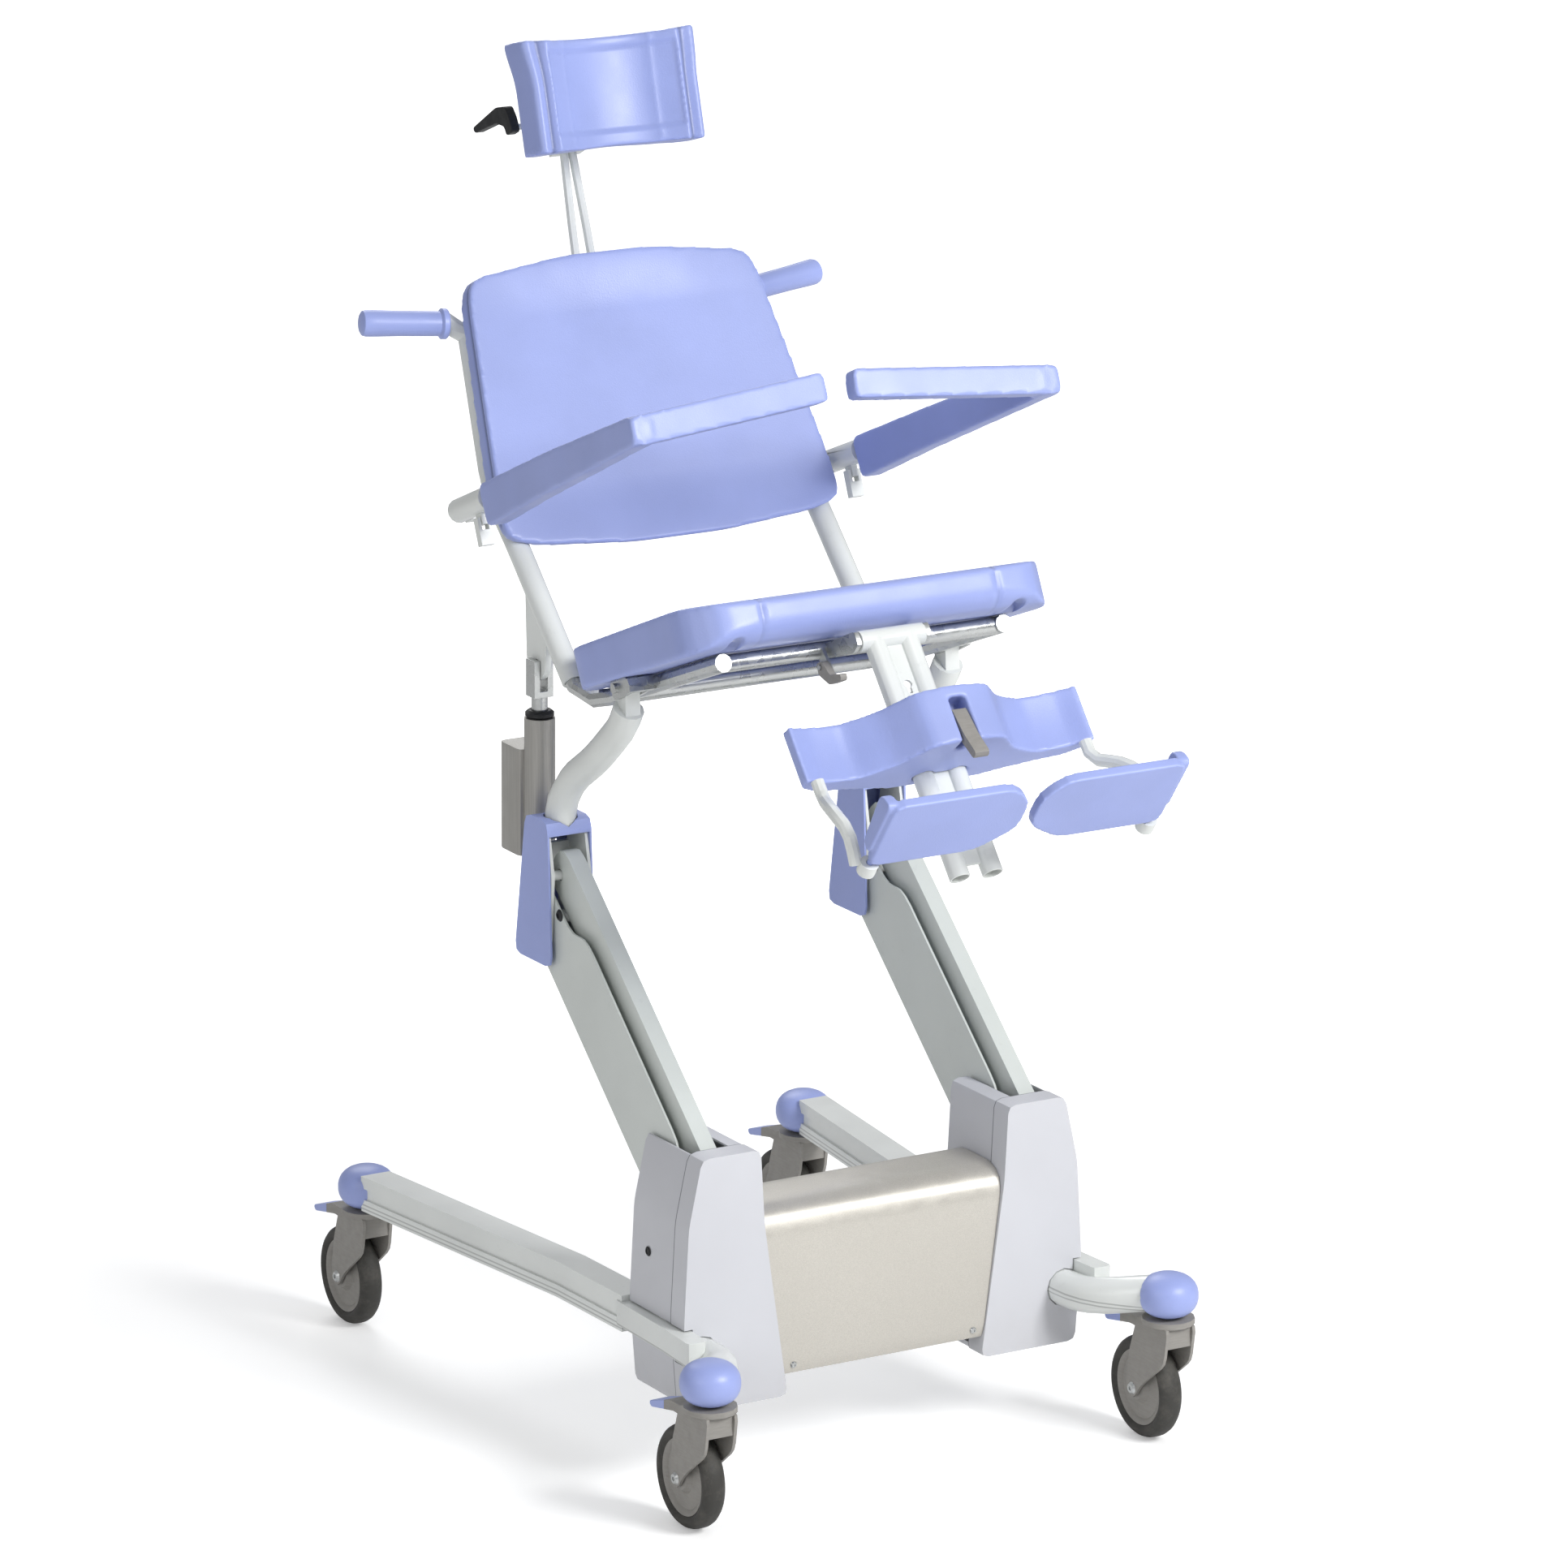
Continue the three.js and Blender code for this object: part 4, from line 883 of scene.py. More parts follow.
def finishes():
    """Every finish by name, made once."""
    c = bpy.context.scene.chair_colours
    makers = {
        "blue_plastic": lambda: skin_foam(c.blue),
        "white_plastic": lambda: textured_abs(c.housing),
        "champagne_cover": lambda: champagne_paint(c.cover),
        "white_tube": lambda: powder_coat(c.tube),
        "arm_paint": lambda: powder_coat(c.arm, "arm_powder_coat"),
        "grooved_tube": lambda: powder_coat(c.tube, "grooved_extrusion", SIDE_GROOVES),
        "caster_grey": lambda: filled_nylon(c.caster),
        "caster_tyre": lambda: tyre_rubber(c.tyre),
        "black_plastic": lambda: filled_nylon(c.black, "black_nylon"),
        "actuator_grey": lambda: anodised(c.actuator),
        "bright_steel": lambda: zinc_plate(c.steel),
    }
    return {name: make() for name, make in makers.items()}


MADE = {}


def finish_named(name):
    """A finish; all of them are made the first time that one is asked for."""
    if not MADE:
        MADE.update(finishes())
    return MADE[name]


# ---------- mesh helpers ----------
def merged_copy(node):
    """The CAD node's triangles as one welded bmesh."""
    bm = bmesh.new()
    bm.from_mesh(frame["nodes"][node].data)
    bmesh.ops.remove_doubles(bm, verts=bm.verts, dist=2e-6)
    return bm


def plain_mesh(name, bm):
    """A mesh with only the shape of bm, free of stored normals."""
    bm.verts.index_update()
    mesh = bpy.data.meshes.new(name)
    mesh.from_pydata(
        [v.co[:] for v in bm.verts],
        [],
        [[v.index for v in f.verts] for f in bm.faces],
    )
    bm.free()
    mesh.update()
    return mesh


def shown(name, mesh, finish, body, smooth_to=CRISP_ANGLE):
    """Links a finished mesh at the origin, gives it its finish and puts it on its body."""
    mesh.shade_smooth()
    mesh.set_sharp_from_angle(angle=math.radians(smooth_to))
    mesh.materials.clear()
    mesh.materials.append(finish_named(finish))
    obj = bpy.data.objects.new(name, mesh)
    bpy.context.scene.collection.objects.link(obj)
    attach(obj, body)
    return obj


def body_of_node(node):
    return frame["nodes"][node]["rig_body"]


def cad_finish(node):
    return frame["nodes"][node].data.materials[0].name.split(".")[0]


def eased(node, width, finish=None, segments=2, keep=None, name=None):
    """A hard part: the CAD shape with welded faces, eased edges and smooth rounds.
    keep is (y, side): only what lies behind (1) or in front (-1) of that plane is kept."""
    finish = finish or cad_finish(node)
    name = name or f"{node}_finished"
    bm = merged_copy(node)
    if keep:
        plane, side = keep
        everything = [*bm.verts, *bm.edges, *bm.faces]
        bmesh.ops.bisect_plane(
            bm, geom=everything, plane_co=(0, plane, 0), plane_no=(0, -side, 0), clear_outer=True
        )
        bmesh.ops.holes_fill(bm, edges=[e for e in bm.edges if e.is_boundary])
        bmesh.ops.recalc_face_normals(bm, faces=bm.faces)
    bmesh.ops.dissolve_limit(bm, angle_limit=math.radians(0.6), verts=bm.verts, edges=bm.edges)
    piece = shown(name, plain_mesh(name, bm), finish, body_of_node(node))
    edge = piece.modifiers.new("eased_edges", "BEVEL")
    edge.width = width
    edge.segments = segments
    edge.limit_method = "ANGLE"
    edge.angle_limit = math.radians(CRISP_ANGLE)
    edge.harden_normals = True
    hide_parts(node)
    return piece


def baked(obj, name):
    """The evaluated shape of obj as a plain mesh; obj itself is removed."""
    bpy.context.view_layer.update()
    graph = bpy.context.evaluated_depsgraph_get()
    mesh = bpy.data.meshes.new_from_object(obj.evaluated_get(graph))
    mesh.name = name
    bpy.data.objects.remove(obj)
    return mesh


def moulded(node, grid, passes, shape=None, frame_matrix=None, finish="blue_plastic"):
    """A foam or thick moulding: the CAD solid on an even grid, edges rolled, then shaped.
    shape takes a point in frame_matrix and gives the new point and how deep in a groove it is; the
    foam's shader paints that depth as shade."""
    raw = bpy.data.objects.new(f"{node}_raw", plain_mesh(f"{node}_raw", merged_copy(node)))
    bpy.context.scene.collection.objects.link(raw)
    even = raw.modifiers.new("even_grid", "REMESH")
    even.mode = "VOXEL"
    even.voxel_size = grid
    roll = raw.modifiers.new("rolled_edges", "SMOOTH")
    roll.factor = 0.5
    roll.iterations = passes
    mesh = baked(raw, f"{node}_moulded")
    if shape:
        to_local = frame_matrix.inverted()
        shaded_grooves = []
        for v in mesh.vertices:
            point, shaded_groove = shape(to_local @ v.co)
            v.co = frame_matrix @ point
            shaded_grooves.append(shaded_groove)
        mesh.attributes.new("shaded_groove", "FLOAT", "POINT").data.foreach_set("value", shaded_grooves)
        mesh.update()
    piece = shown(f"{node}_moulded", mesh, finish, body_of_node(node), PAD_ANGLE)
    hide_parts(node)
    return piece


def hump(value, centre, width):
    return math.exp(-(((value - centre) / width) ** 2))


def ramp(value, low, high):
    t = min(1.0, max(0.0, (value - low) / (high - low)))
    return t * t * (3 - 2 * t)


def clear_of(across, radius):
    """How much to stretch across, a point's offset from a round hole's axis, to reach the wall."""
    away = math.hypot(*across)
    if ON_AXIS < away < radius:
        return radius / away
    return 1.0


def turned(name, profile, centre, axis, finish, body, sides=48):
    """A turned shape. The profile is (radius, along the axis) in millimetres.
    It closes on the axis, or on itself as a ring."""
    turn = Vector((0, 0, 1)).rotation_difference(Vector(axis)).to_matrix().to_4x4()
    place = Matrix.Translation(centre) @ turn @ Matrix.Scale(MM, 4)
    bm = bmesh.new()
    rings = []
    for radius, along in profile:
        if radius < ON_AXIS:
            rings.append([bm.verts.new(place @ Vector((0, 0, along)))] * sides)
            continue
        ring = []
        for k in range(sides):
            a = 2 * math.pi * k / sides
            ring.append(
                bm.verts.new(place @ Vector((radius * math.cos(a), radius * math.sin(a), along))),
            )
        rings.append(ring)
    closed = profile[0][0] > ON_AXIS
    last = len(rings) if closed else len(rings) - 1
    for i in range(last):
        a, b = rings[i], rings[(i + 1) % len(rings)]
        for k in range(sides):
            m = (k + 1) % sides
            corners = list(dict.fromkeys((a[k], a[m], b[m], b[k])))
            if len(corners) > 2:
                bm.faces.new(corners)
    bmesh.ops.recalc_face_normals(bm, faces=bm.faces)
    return shown(name, plain_mesh(name, bm), finish, body)


# ---------- fasteners by geometry nodes ----------
def fastener_tree():
    """A tree that sets a domed head with a hexagon socket at each point, along its facing."""
    tree = bpy.data.node_groups.new("fasteners", "GeometryNodeTree")
    face = tree.interface
    face.new_socket("Geometry", in_out="INPUT", socket_type="NodeSocketGeometry")
    lengths = {"Head radius": 0.004, "Head height": 0.002, "Socket radius": 0.0018}
    for name, default in lengths.items():
        socket = face.new_socket(name, in_out="INPUT", socket_type="NodeSocketFloat")
        socket.default_value = default
        socket.subtype = "DISTANCE"
    face.new_socket("Finish", in_out="INPUT", socket_type="NodeSocketMaterial")
    face.new_socket("Geometry", in_out="OUTPUT", socket_type="NodeSocketGeometry")
    given = add_node(tree, "NodeGroupInput").outputs
    rim = add_node(
        tree, "ShaderNodeMath", {0: given["Head radius"], 1: 0.72}, operation="MULTIPLY"
    ).outputs[0]
    head = add_node(
        tree,
        "GeometryNodeMeshCone",
        {
            "Vertices": 28,
            "Radius Top": rim,
            "Radius Bottom": given["Head radius"],
            "Depth": given["Head height"],
        },
    )
    cutter = add_node(
        tree,
        "GeometryNodeMeshCylinder",
        {"Vertices": 6, "Radius": given["Socket radius"], "Depth": given["Head height"]},
    )
    lift = add_node(tree, "ShaderNodeCombineXYZ", {"Z": given["Head height"]}).outputs["Vector"]
    raised = add_node(
        tree, "GeometryNodeTransform", {"Geometry": cutter.outputs["Mesh"], "Translation": lift}
    )
    screw = add_node(tree, "GeometryNodeMeshBoolean", operation="DIFFERENCE")
    tree.links.new(head.outputs["Mesh"], screw.inputs["Mesh 1"])
    tree.links.new(raised.outputs["Geometry"], screw.inputs["Mesh 2"])
    points = add_node(tree, "GeometryNodeMeshToPoints", {"Mesh": given["Geometry"]})
    facing = add_node(
        tree, "GeometryNodeInputNamedAttribute", {"Name": "facing"}, data_type="FLOAT_VECTOR"
    ).outputs["Attribute"]
    turn = add_node(tree, "FunctionNodeAlignRotationToVector", {"Vector": facing}, axis="Z")
    placed = add_node(
        tree,
        "GeometryNodeInstanceOnPoints",
        {
            "Points": points.outputs["Points"],
            "Instance": screw.outputs["Mesh"],
            "Rotation": turn.outputs["Rotation"],
        },
    )
    solid = add_node(
        tree,
        "GeometryNodeRealizeInstances",
        {"Geometry": placed.outputs["Instances"]},
    )
    painted = add_node(
        tree,
        "GeometryNodeSetMaterial",
        {"Geometry": solid.outputs["Geometry"], "Material": given["Finish"]},
    )
    add_node(tree, "NodeGroupOutput", {"Geometry": painted.outputs["Geometry"]})
    return tree


def fasteners(name, body, finish, places, radius, height, socket):
    """A set of like screws on one body; places are (point, facing) in metres."""
    seeds = bpy.data.meshes.new(f"{name}_points")
    seeds.from_pydata([p for p, _ in places], [], [])
    facing = seeds.attributes.new("facing", "FLOAT_VECTOR", "POINT")
    facing.data.foreach_set("vector", [c for _, way in places for c in way])
    holder = bpy.data.objects.new(f"{name}_points", seeds)
    bpy.context.scene.collection.objects.link(holder)
    tree = bpy.data.node_groups.get("fasteners") or fastener_tree()
    row = holder.modifiers.new("fasteners", "NODES")
    row.node_group = tree
    values = {
        "Head radius": radius,
        "Head height": height,
        "Socket radius": socket,
        "Finish": finish_named(finish),
    }
    for item in tree.interface.items_tree:
        if item.in_out == "INPUT" and item.name in values:
            row[item.identifier] = values[item.name]
    return shown(name, baked(holder, name), finish, body)


# ---------- stage and pieces ----------
def seen_directly(tree):
    """1 for camera rays, which see the white surround."""
    return add_node(tree, "ShaderNodeLightPath").outputs["Is Camera Ray"]


def make_floor():
    """A pale floor that fades to white away from the chair and keeps its shadow."""
    bm = bmesh.new()
    bmesh.ops.create_grid(bm, x_segments=1, y_segments=1, size=FLOOR_HALF)
    mesh = plain_mesh("floor", bm)
    material, tree, shader, where = new_material("pale_floor", {"Roughness": 0.75})
    tint = add_node(
        tree,
        "ShaderNodeMix",
        {
            "Factor": add_node(
                tree,
                "ShaderNodeTexNoise",
                {"Vector": where, "Scale": 3.0, "Detail": 2.0},
            ).outputs["Fac"],
            6: linear("#f3f3f2"),
            7: linear("#f7f7f7"),
        },
        data_type="RGBA",
    ).outputs[2]
    drive(tree, shader, colour=tint)
    shader.inputs["Emission Color"].default_value = (1, 1, 1, 1)
    away = add_node(tree, "ShaderNodeVectorMath", {0: where}, operation="LENGTH").outputs["Value"]
    white = add_node(
        tree,
        "ShaderNodeMapRange",
        {"Value": away, "From Min": 0.8, "From Max": 2.6, "To Min": 0.3, "To Max": 1.0},
        interpolation_type="SMOOTHSTEP",
    ).outputs["Result"]
    glow = add_node(
        tree,
        "ShaderNodeMath",
        {0: seen_directly(tree), 1: white},
        operation="MULTIPLY",
    )
    tree.links.new(glow.outputs[0], shader.inputs["Emission Strength"])
    mesh.materials.append(material)
    floor = bpy.data.objects.new("floor", mesh)
    floor.location = (0, 0, -FLOOR_DROP)
    bpy.context.scene.collection.objects.link(floor)


class ChairStage(bpy.types.Operator):
    """Sets the camera, the pale floor and the soft light"""

    bl_idname = "chair.stage"
    bl_label = "Stage"

    def execute(self, context):
        scene = context.scene
        turn, rise = CAMERA_TURN, CAMERA_RISE
        flat = math.cos(rise)
        back = Vector((math.sin(turn) * flat, -math.cos(turn) * flat, math.sin(rise)))
        right = Vector((math.cos(turn), math.sin(turn), 0))
        up = back.cross(right)
        middle = CAMERA_MIDDLE + right * CAMERA_RIGHT - up * CAMERA_DOWN
        eye = bpy.data.cameras.new("camera")
        eye.lens = LENS
        eye.sensor_width = SENSOR
        camera = bpy.data.objects.new("camera", eye)
        facing = Matrix((right, up, back)).transposed().to_4x4()
        camera.matrix_world = Matrix.Translation(middle + back * CAMERA_AWAY) @ facing
        scene.collection.objects.link(camera)
        scene.camera = camera
        make_floor()
        for name, place, power, size in LAMPS:
            lamp = bpy.data.lights.new(name, "AREA")
            lamp.energy = power
            lamp.size = size
            light = bpy.data.objects.new(name, lamp)
            aim = (Vector(place) - LAMP_AIM).to_track_quat("Z", "Y").to_matrix().to_4x4()
            light.matrix_world = Matrix.Translation(place) @ aim
            scene.collection.objects.link(light)
        scene.view_settings.view_transform = "Standard"
        world = bpy.data.worlds.new("studio")
        scene.world = world
        world.use_nodes = True
        tree = world.node_tree
        tree.nodes.clear()
        seen = seen_directly(tree)
        soft = add_node(
            tree,
            "ShaderNodeBackground",
            {"Color": linear("#f7f8fa"), "Strength": 0.38},
        )
        white = add_node(
            tree,
            "ShaderNodeBackground",
            {"Color": linear("#ffffff"), "Strength": 1.0},
        )
        both = add_node(tree, "ShaderNodeMixShader", {0: seen})
        tree.links.new(soft.outputs[0], both.inputs[1])
        tree.links.new(white.outputs[0], both.inputs[2])
        add_node(tree, "ShaderNodeOutputWorld", {"Surface": both.outputs[0]})
        return {"FINISHED"}


class ChairHeadrest(bpy.types.Operator):
    """Makes the concave headrest pad with its raised side rolls"""

    bl_idname = "chair.headrest"
    bl_label = "Headrest pad"

    def execute(self, context):
        sizes = context.scene.chair_sizes
        def shape(p):
            side = abs(p.x)
            start = -2 - 26 * ramp(side, 50, 104)
            front = 1 - ramp(p.y, start, start + 16 + 6 * ramp(side, 50, 104))
            flat = -8 - 28 * max(0.0, min(1.0, (side - 59) / 45))
            hollow = -4 - 29 * min(1.0, side / 88) ** 2.2
            lip = 6.5 * ramp(side, 88, 96) - 7.5 * ramp(side, 97, 108)
            brim = 4.0 * (1 - ramp(abs(p.z - 2), 46, 55)) * (1 - ramp(side, 84, 90))
            p.y += front * (hollow + lip + brim - 2.0 - flat)
            # painted shade along the crease beside the side roll
            shaded_groove = front * hump(side, 96, 3.2)
            if p.y < 40:
                corner = ramp(side, 70, 118)
                p.x *= 1 + 0.05 * corner * ramp(p.z, 5, 66)
                p.y += 5 * corner * ramp(p.z, 20, 66)
                p.z *= 1 + 0.045 * corner
                p.z -= 5 * (1 - (side / 118) ** 2) * (1 - ramp(p.z, -66, -30)) * ramp(side, 0, 118)
            return p, 0.8 * shaded_groove

        pad = moulded("headrest_pad", sizes.small_grid, 7, shape, HEAD_FRAME)
        return {"FINISHED"}


class ChairBackrest(bpy.types.Operator):
    """Makes the backrest panel with its shallow dish and recessed side band"""

    bl_idname = "chair.backrest"
    bl_label = "Backrest"

    def execute(self, context):
        sizes = context.scene.chair_sizes
        dish = sizes.back_dish / MM

        def shape(p):
            front_face = 184 + (p.z - 204) * 26 / 372
            depth = p.y - front_face
            half = 233 - 33 * (p.z - 230) / 300
            side = abs(p.x) / half
            front = 1 - ramp(depth, 6, 20)
            fade = ramp(p.z, 206, 290), 1 - ramp(p.z, 500, 574)
            p.y += front * dish * (1 - min(1.0, side) ** 2) * fade[0] * fade[1]
            rim = ramp(side, 0.93, 0.975) * ramp(p.z, 232, 262)
            # the groove is cut here, and the same amount paints shade in it
            shaded_groove = rim * hump(depth, 11, 2.8)
            p.x -= math.copysign(2.6 * shaded_groove, p.x)
            return p, shaded_groove

        pad = moulded("backrest", sizes.pad_grid * 0.85, 5, shape, SEAT_FRAME)
        return {"FINISHED"}


class ChairSeat(bpy.types.Operator):
    """Makes the seat pad with its waterfall front, corner creases and shallow dish"""

    bl_idname = "chair.seat"
    bl_label = "Seat pad"

    def execute(self, context):
        sizes = context.scene.chair_sizes
        dish = sizes.seat_dish / MM

        def shape(p):
            top = 46 + (p.y + 200) * 20 / 260
            above = ramp(p.z, top - 14, top - 4)
            side = min(1.0, abs(p.x) / 225)
            p.z -= above * dish * (1 - side**2) * ramp(p.y, -190, -120) * (1 - ramp(p.y, 40, 130))
            crease = hump(abs(p.x), 158, 3.4) * (1 - ramp(p.y, -215, -150))
            p.y += 2.8 * crease * (1 - above)
            p.z -= 2.2 * crease * above
            for s in (-1, 1):
                rail_z = -10.5 + (p.y + 200) * 0.0952
                away = (p.x - s * SEAT_RAIL_X, p.z - rail_z)
                if math.hypot(*away) < RAIL_GROOVE_R and p.z < top - 30:
                    grow = clear_of(away, RAIL_GROOVE_R)
                    p.x = s * SEAT_RAIL_X + away[0] * grow
                    p.z += away[1] * (grow - 1)
            # the crease amount is also returned as painted shade
            return p, 0.45 * crease

        pad = moulded("seat_pad", sizes.pad_grid, 7, shape, SEAT_FRAME)
        return {"FINISHED"}


class ChairCalfPad(bpy.types.Operator):
    """Makes the two-winged calf pad round its lever slot"""

    bl_idname = "chair.calf_pad"
    bl_label = "Calf pad"

    def execute(self, context):
        sizes = context.scene.chair_sizes
        def shape(p):
            middle_z = -143
            wing = ramp(abs(p.x), 70, 120) * (1 - ramp(abs(p.x), 165, 196))
            crown = 1 - min(1.0, abs(p.z - middle_z) / 36) ** 2
            end = ramp(abs(p.x), 110, 188)
            face = -28 - 12 * ramp(abs(p.x), 160, 196)
            if p.y > face + 4:
                p.y += 9 * end * ramp(p.y, face + 4, face + 10)
            elif p.y < -14:
                p.y += 2.5 * wing * crown
            for s in (-1, 1):
                away = (p.x - s * CALF_TUBE_X, p.y)
                grow = clear_of(away, CALF_BORE_R)
                p.x = s * CALF_TUBE_X + away[0] * grow
                p.y = away[1] * grow
            return p, 0.0

        pad = moulded("calf_pad", sizes.small_grid, 4, shape, LEG_FRAME)
        return {"FINISHED"}


class ChairArmrests(bpy.types.Operator):
    """Makes the two angled armrests as smooth rolled bars, and the two footplates"""

    bl_idname = "chair.armrests"
    bl_label = "Armrests and footplates"

    def execute(self, context):
        sizes = context.scene.chair_sizes
        for side, _ in SIDES:
            moulded(f"armrest_{side}", sizes.small_grid, 8)
            moulded(f"footplate_{side}", sizes.small_grid * 0.7, 3)
        return {"FINISHED"}


class ChairCasters(bpy.types.Operator):
    """Makes the ball caps, tyres, wheel centres, forks and brake pedals of the four casters"""

    bl_idname = "chair.casters"
    bl_label = "Casters"

    def execute(self, context):
        sizes = context.scene.chair_sizes
        girth, tall, steps, bore = 36, 27, 15, 7.3
        ball = [(0, tall)]
        for k in range(1, steps):
            a = math.pi * k / steps
            across, along = math.sin(a) ** 0.8, abs(math.cos(a)) ** 0.9
            ball.append((girth * across, tall * math.copysign(along, math.cos(a))))
        ball += [(bore, -tall), (bore, 5), (0, 5)]
        tyre_half = [(46.6, 11), (50, 14.2), (54, 14.8), (57.5, 13.2)]
        tyre_half += [(60.6, 9.8), (62.2, 5.6), (62.5, 2)]
        tyre = [(r, -x) for r, x in tyre_half] + [(r, x) for r, x in reversed(tyre_half)]
        centre_half = [(6.3, 14.8), (15, 14.8), (17, 12), (20, 9)]
        centre_half += [(39, 8), (42, 10.5), (46.4, 11.5)]
        centre = [(r, -x) for r, x in centre_half] + [(r, x) for r, x in reversed(centre_half)]
        for end, side in CORNERS:
            where = f"{end}_{side}"
            low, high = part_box(f"caster_wheel_{where}")
            middle = [(a + b) / 2 for a, b in zip(low, high)]
            low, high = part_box(f"caster_cap_{where}")
            swivel = middle[0], middle[1] - SWIVEL_TRAIL, (low[2] + high[2]) / 2
            cap = turned(f"ball_cap_{where}", ball, swivel, (0, 0, 1), "blue_plastic", "base")
            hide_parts(f"caster_cap_{where}")
            wheel = f"wheel_{where}"
            tread = turned(f"tyre_{where}", tyre, middle, (1, 0, 0), "caster_tyre", wheel, 72)
            turned(f"wheel_centre_{where}", centre, middle, (1, 0, 0), "caster_grey", wheel, 64)
            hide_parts(f"caster_wheel_{where}")
            eased(f"caster_fork_{where}", sizes.edge, segments=3)
            pedal = f"brake_pedal_{where}"
            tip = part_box(pedal)[1][1] - PEDAL_TIP
            eased(pedal, sizes.edge, keep=(tip, -1))
            eased(pedal, sizes.edge, "blue_plastic", keep=(tip, 1), name=f"pedal_tip_{where}")
            fasteners(
                f"axle_bolts_{where}",
                f"caster_{where}",
                "bright_steel",
                [((middle[0] + s * FORK_FACE, middle[1], middle[2]), (s, 0, 0)) for s in (-1, 1)],
                radius=0.0078,
                height=0.003,
                socket=0.003,
            )
        return {"FINISHED"}


class ChairHousings(bpy.types.Operator):
    """Finishes the lower housings, the front cover and the side members"""

    bl_idname = "chair.housings"
    bl_label = "Housings and cover"

    def execute(self, context):
        sizes = context.scene.chair_sizes
        eased("front_cover", sizes.edge * 1.6, segments=3)
        for side, _ in SIDES:
            eased(f"housing_front_{side}", sizes.edge * 1.6, segments=3)
            eased(f"housing_side_{side}", sizes.edge * 1.4, segments=3)
            eased(f"side_member_{side}", sizes.edge, "grooved_tube")
        for node in ("base_frame", "battery_pack", "lift_gearmotor"):
            eased(node, sizes.edge)
        return {"FINISHED"}


class ChairLift(bpy.types.Operator):
    """Finishes the lift arms, links, carriages, seat posts and tilt actuator"""

    bl_idname = "chair.lift"
    bl_label = "Lift"

    def execute(self, context):
        sizes = context.scene.chair_sizes
        eased("lift_shaft", sizes.edge)
        for side, _ in SIDES:
            eased(f"lift_arm_{side}", sizes.edge * 1.3, "arm_paint", 3)
            eased(f"parallel_link_{side}", sizes.edge * 1.3, "arm_paint", 3)
            eased(f"carriage_shell_{side}", sizes.edge, segments=3)
            eased(f"seat_post_{side}", sizes.edge)
        eased("tilt_actuator", sizes.edge, segments=3)
        eased("actuator_rod", sizes.edge * 0.5)
        way = (ACTUATOR_HEAD - ACTUATOR_FOOT).normalized()
        gland = [(10.4, 0), (15, 0), (17.5, 2), (17.5, 6), (14, 9), (10.4, 9)]
        place = ACTUATOR_FOOT + way * GLAND_UP
        turned("actuator_gland", gland, place, way, "black_plastic", "tilt_actuator")
        return {"FINISHED"}


class ChairSeatFrame(bpy.types.Operator):
    """Finishes the seat frame, the tubes, the latches, the levers and the push handles"""

    bl_idname = "chair.seat_frame"
    bl_label = "Seat frame and tubes"

    def execute(self, context):
        sizes = context.scene.chair_sizes
        for node in ("seat_frame", "back_frame", "headrest_stem", "headrest_lever", "leg_tubes"):
            eased(node, sizes.edge)
        for node in ("leg_release_lever", "calf_lever"):
            eased(node, sizes.edge, "caster_grey")
        for side, sign in SIDES:
            for node in ("armrest_socket", "armrest_latch", "foot_hanger"):
                eased(f"{node}_{side}", sizes.edge * 0.7, "white_tube")
            start = SEAT_FRAME @ Vector((sign * 212, 255.80, 515.02))
            end = SEAT_FRAME @ Vector((sign * 317, 271.17, 531.24))
            sleeve = [(0, 100.4), (14.4, 100.4), (14.4, 0), (17.6, 0), (18.8, 1.5), (18.8, 7)]
            sleeve += [(15.2, 10), (15.4, 60), (16.2, 92), (16.2, 102), (15, 106), (12, 108)]
            sleeve += [(0, 108.6)]
            grip = turned(
                f"push_handle_{side}", sleeve, start, end - start, "blue_plastic", "seat_unit"
            )
            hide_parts(f"push_grip_{side}")
        return {"FINISHED"}


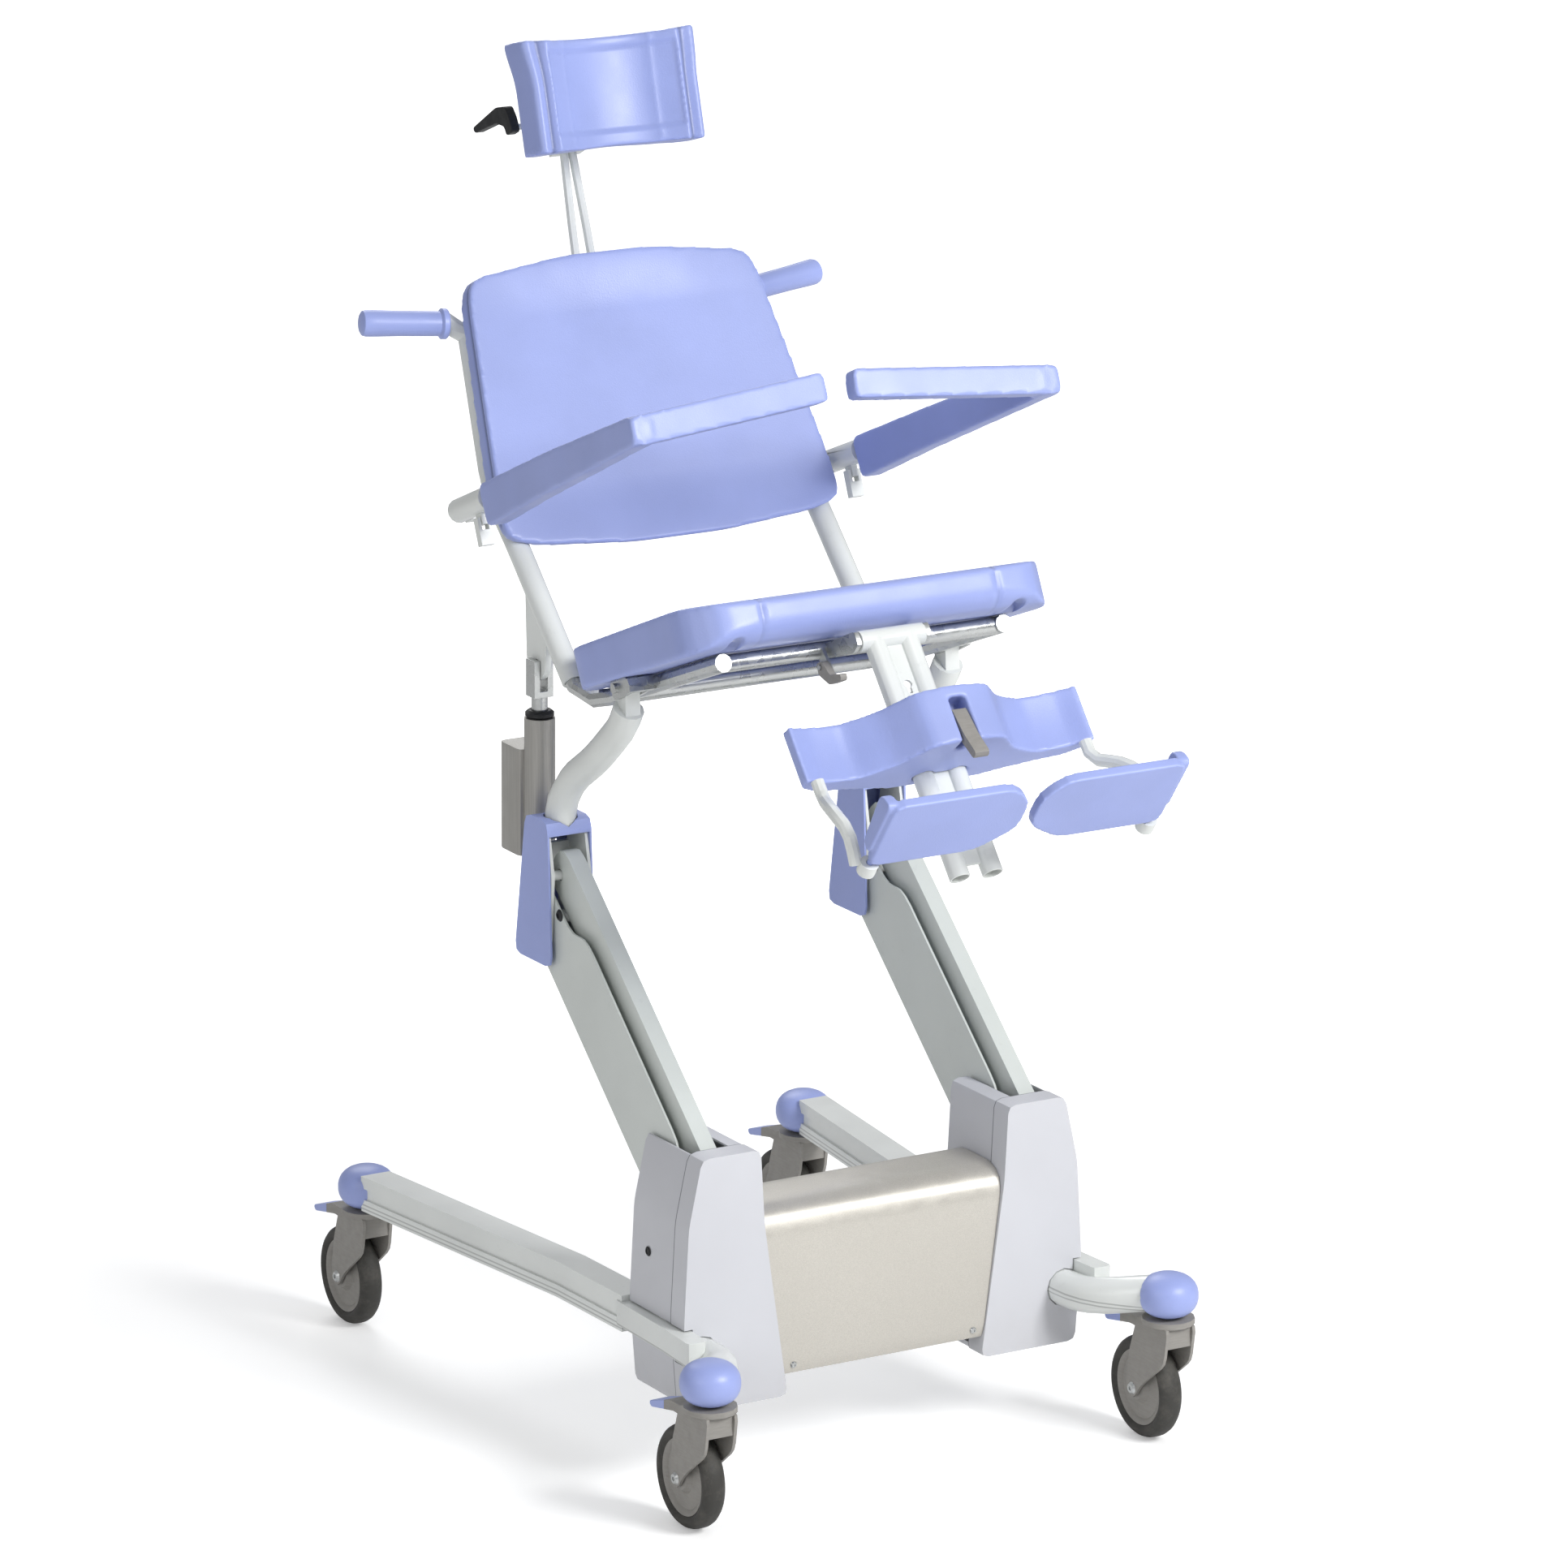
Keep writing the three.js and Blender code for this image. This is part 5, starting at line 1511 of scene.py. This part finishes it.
class ChairFasteners(bpy.types.Operator):
    """Sets the cover screws, arm bolts and housing plugs"""

    bl_idname = "chair.fasteners"
    bl_label = "Fasteners"

    def execute(self, context):
        sizes = context.scene.chair_sizes
        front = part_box("front_cover")[0][1]
        cover = [((s * 0.124, front + 0.0002, 0.1385), (0, -1, 0)) for s in (-1, 1)]
        fasteners(
            "cover_screws", "base", "bright_steel", cover,
            radius=sizes.screw_head, height=0.0018, socket=0.0018,
        )
        arms = []
        for side, _ in SIDES:
            low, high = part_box(f"lift_arm_{side}")
            arms += [((x, *ARM_PIVOT), (way, 0, 0)) for x, way in ((low[0], -1), (high[0], 1))]
        fasteners(
            "arm_bolts", "lift_arms", "black_plastic", arms,
            radius=sizes.bolt_head, height=0.0022, socket=0.0034,
        )
        plugs = [((s * 0.2702, -0.1593, 0.278), (s, 0, 0)) for s in (-1, 1)]
        fasteners(
            "housing_plugs", "base", "black_plastic", plugs,
            radius=0.006, height=0.0012, socket=0.0034,
        )
        return {"FINISHED"}


PIECES = (
    ChairStage,
    ChairHeadrest,
    ChairBackrest,
    ChairSeat,
    ChairCalfPad,
    ChairArmrests,
    ChairCasters,
    ChairHousings,
    ChairLift,
    ChairSeatFrame,
    ChairFasteners,
)


class ChairPanel(bpy.types.Panel):
    """Lists the chair's pieces, sizes and colours"""

    bl_idname = "VIEW3D_PT_hygiene_chair"
    bl_label = "Hygiene chair"
    bl_space_type = "VIEW_3D"
    bl_region_type = "UI"
    bl_category = "Hygiene chair"

    def draw(self, context):
        for group in (context.scene.chair_sizes, context.scene.chair_colours):
            box = self.layout.box()
            for name in group.bl_rna.properties.keys():
                if name not in ("rna_type", "name"):
                    box.prop(group, name)
        for piece in PIECES:
            self.layout.operator(piece.bl_idname)


CLASSES = (ChairSizes, ChairColours, *PIECES, ChairPanel)


def register():
    for item in CLASSES:
        bpy.utils.register_class(item)
    bpy.types.Scene.chair_sizes = bpy.props.PointerProperty(type=ChairSizes)
    bpy.types.Scene.chair_colours = bpy.props.PointerProperty(type=ChairColours)


def unregister():
    del bpy.types.Scene.chair_colours
    del bpy.types.Scene.chair_sizes
    for item in reversed(CLASSES):
        bpy.utils.unregister_class(item)


def main():
    """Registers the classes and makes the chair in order."""
    register()
    for piece in PIECES:
        getattr(bpy.ops.chair, piece.bl_idname.split(".")[1])()


if __name__ == "__main__":
    main()
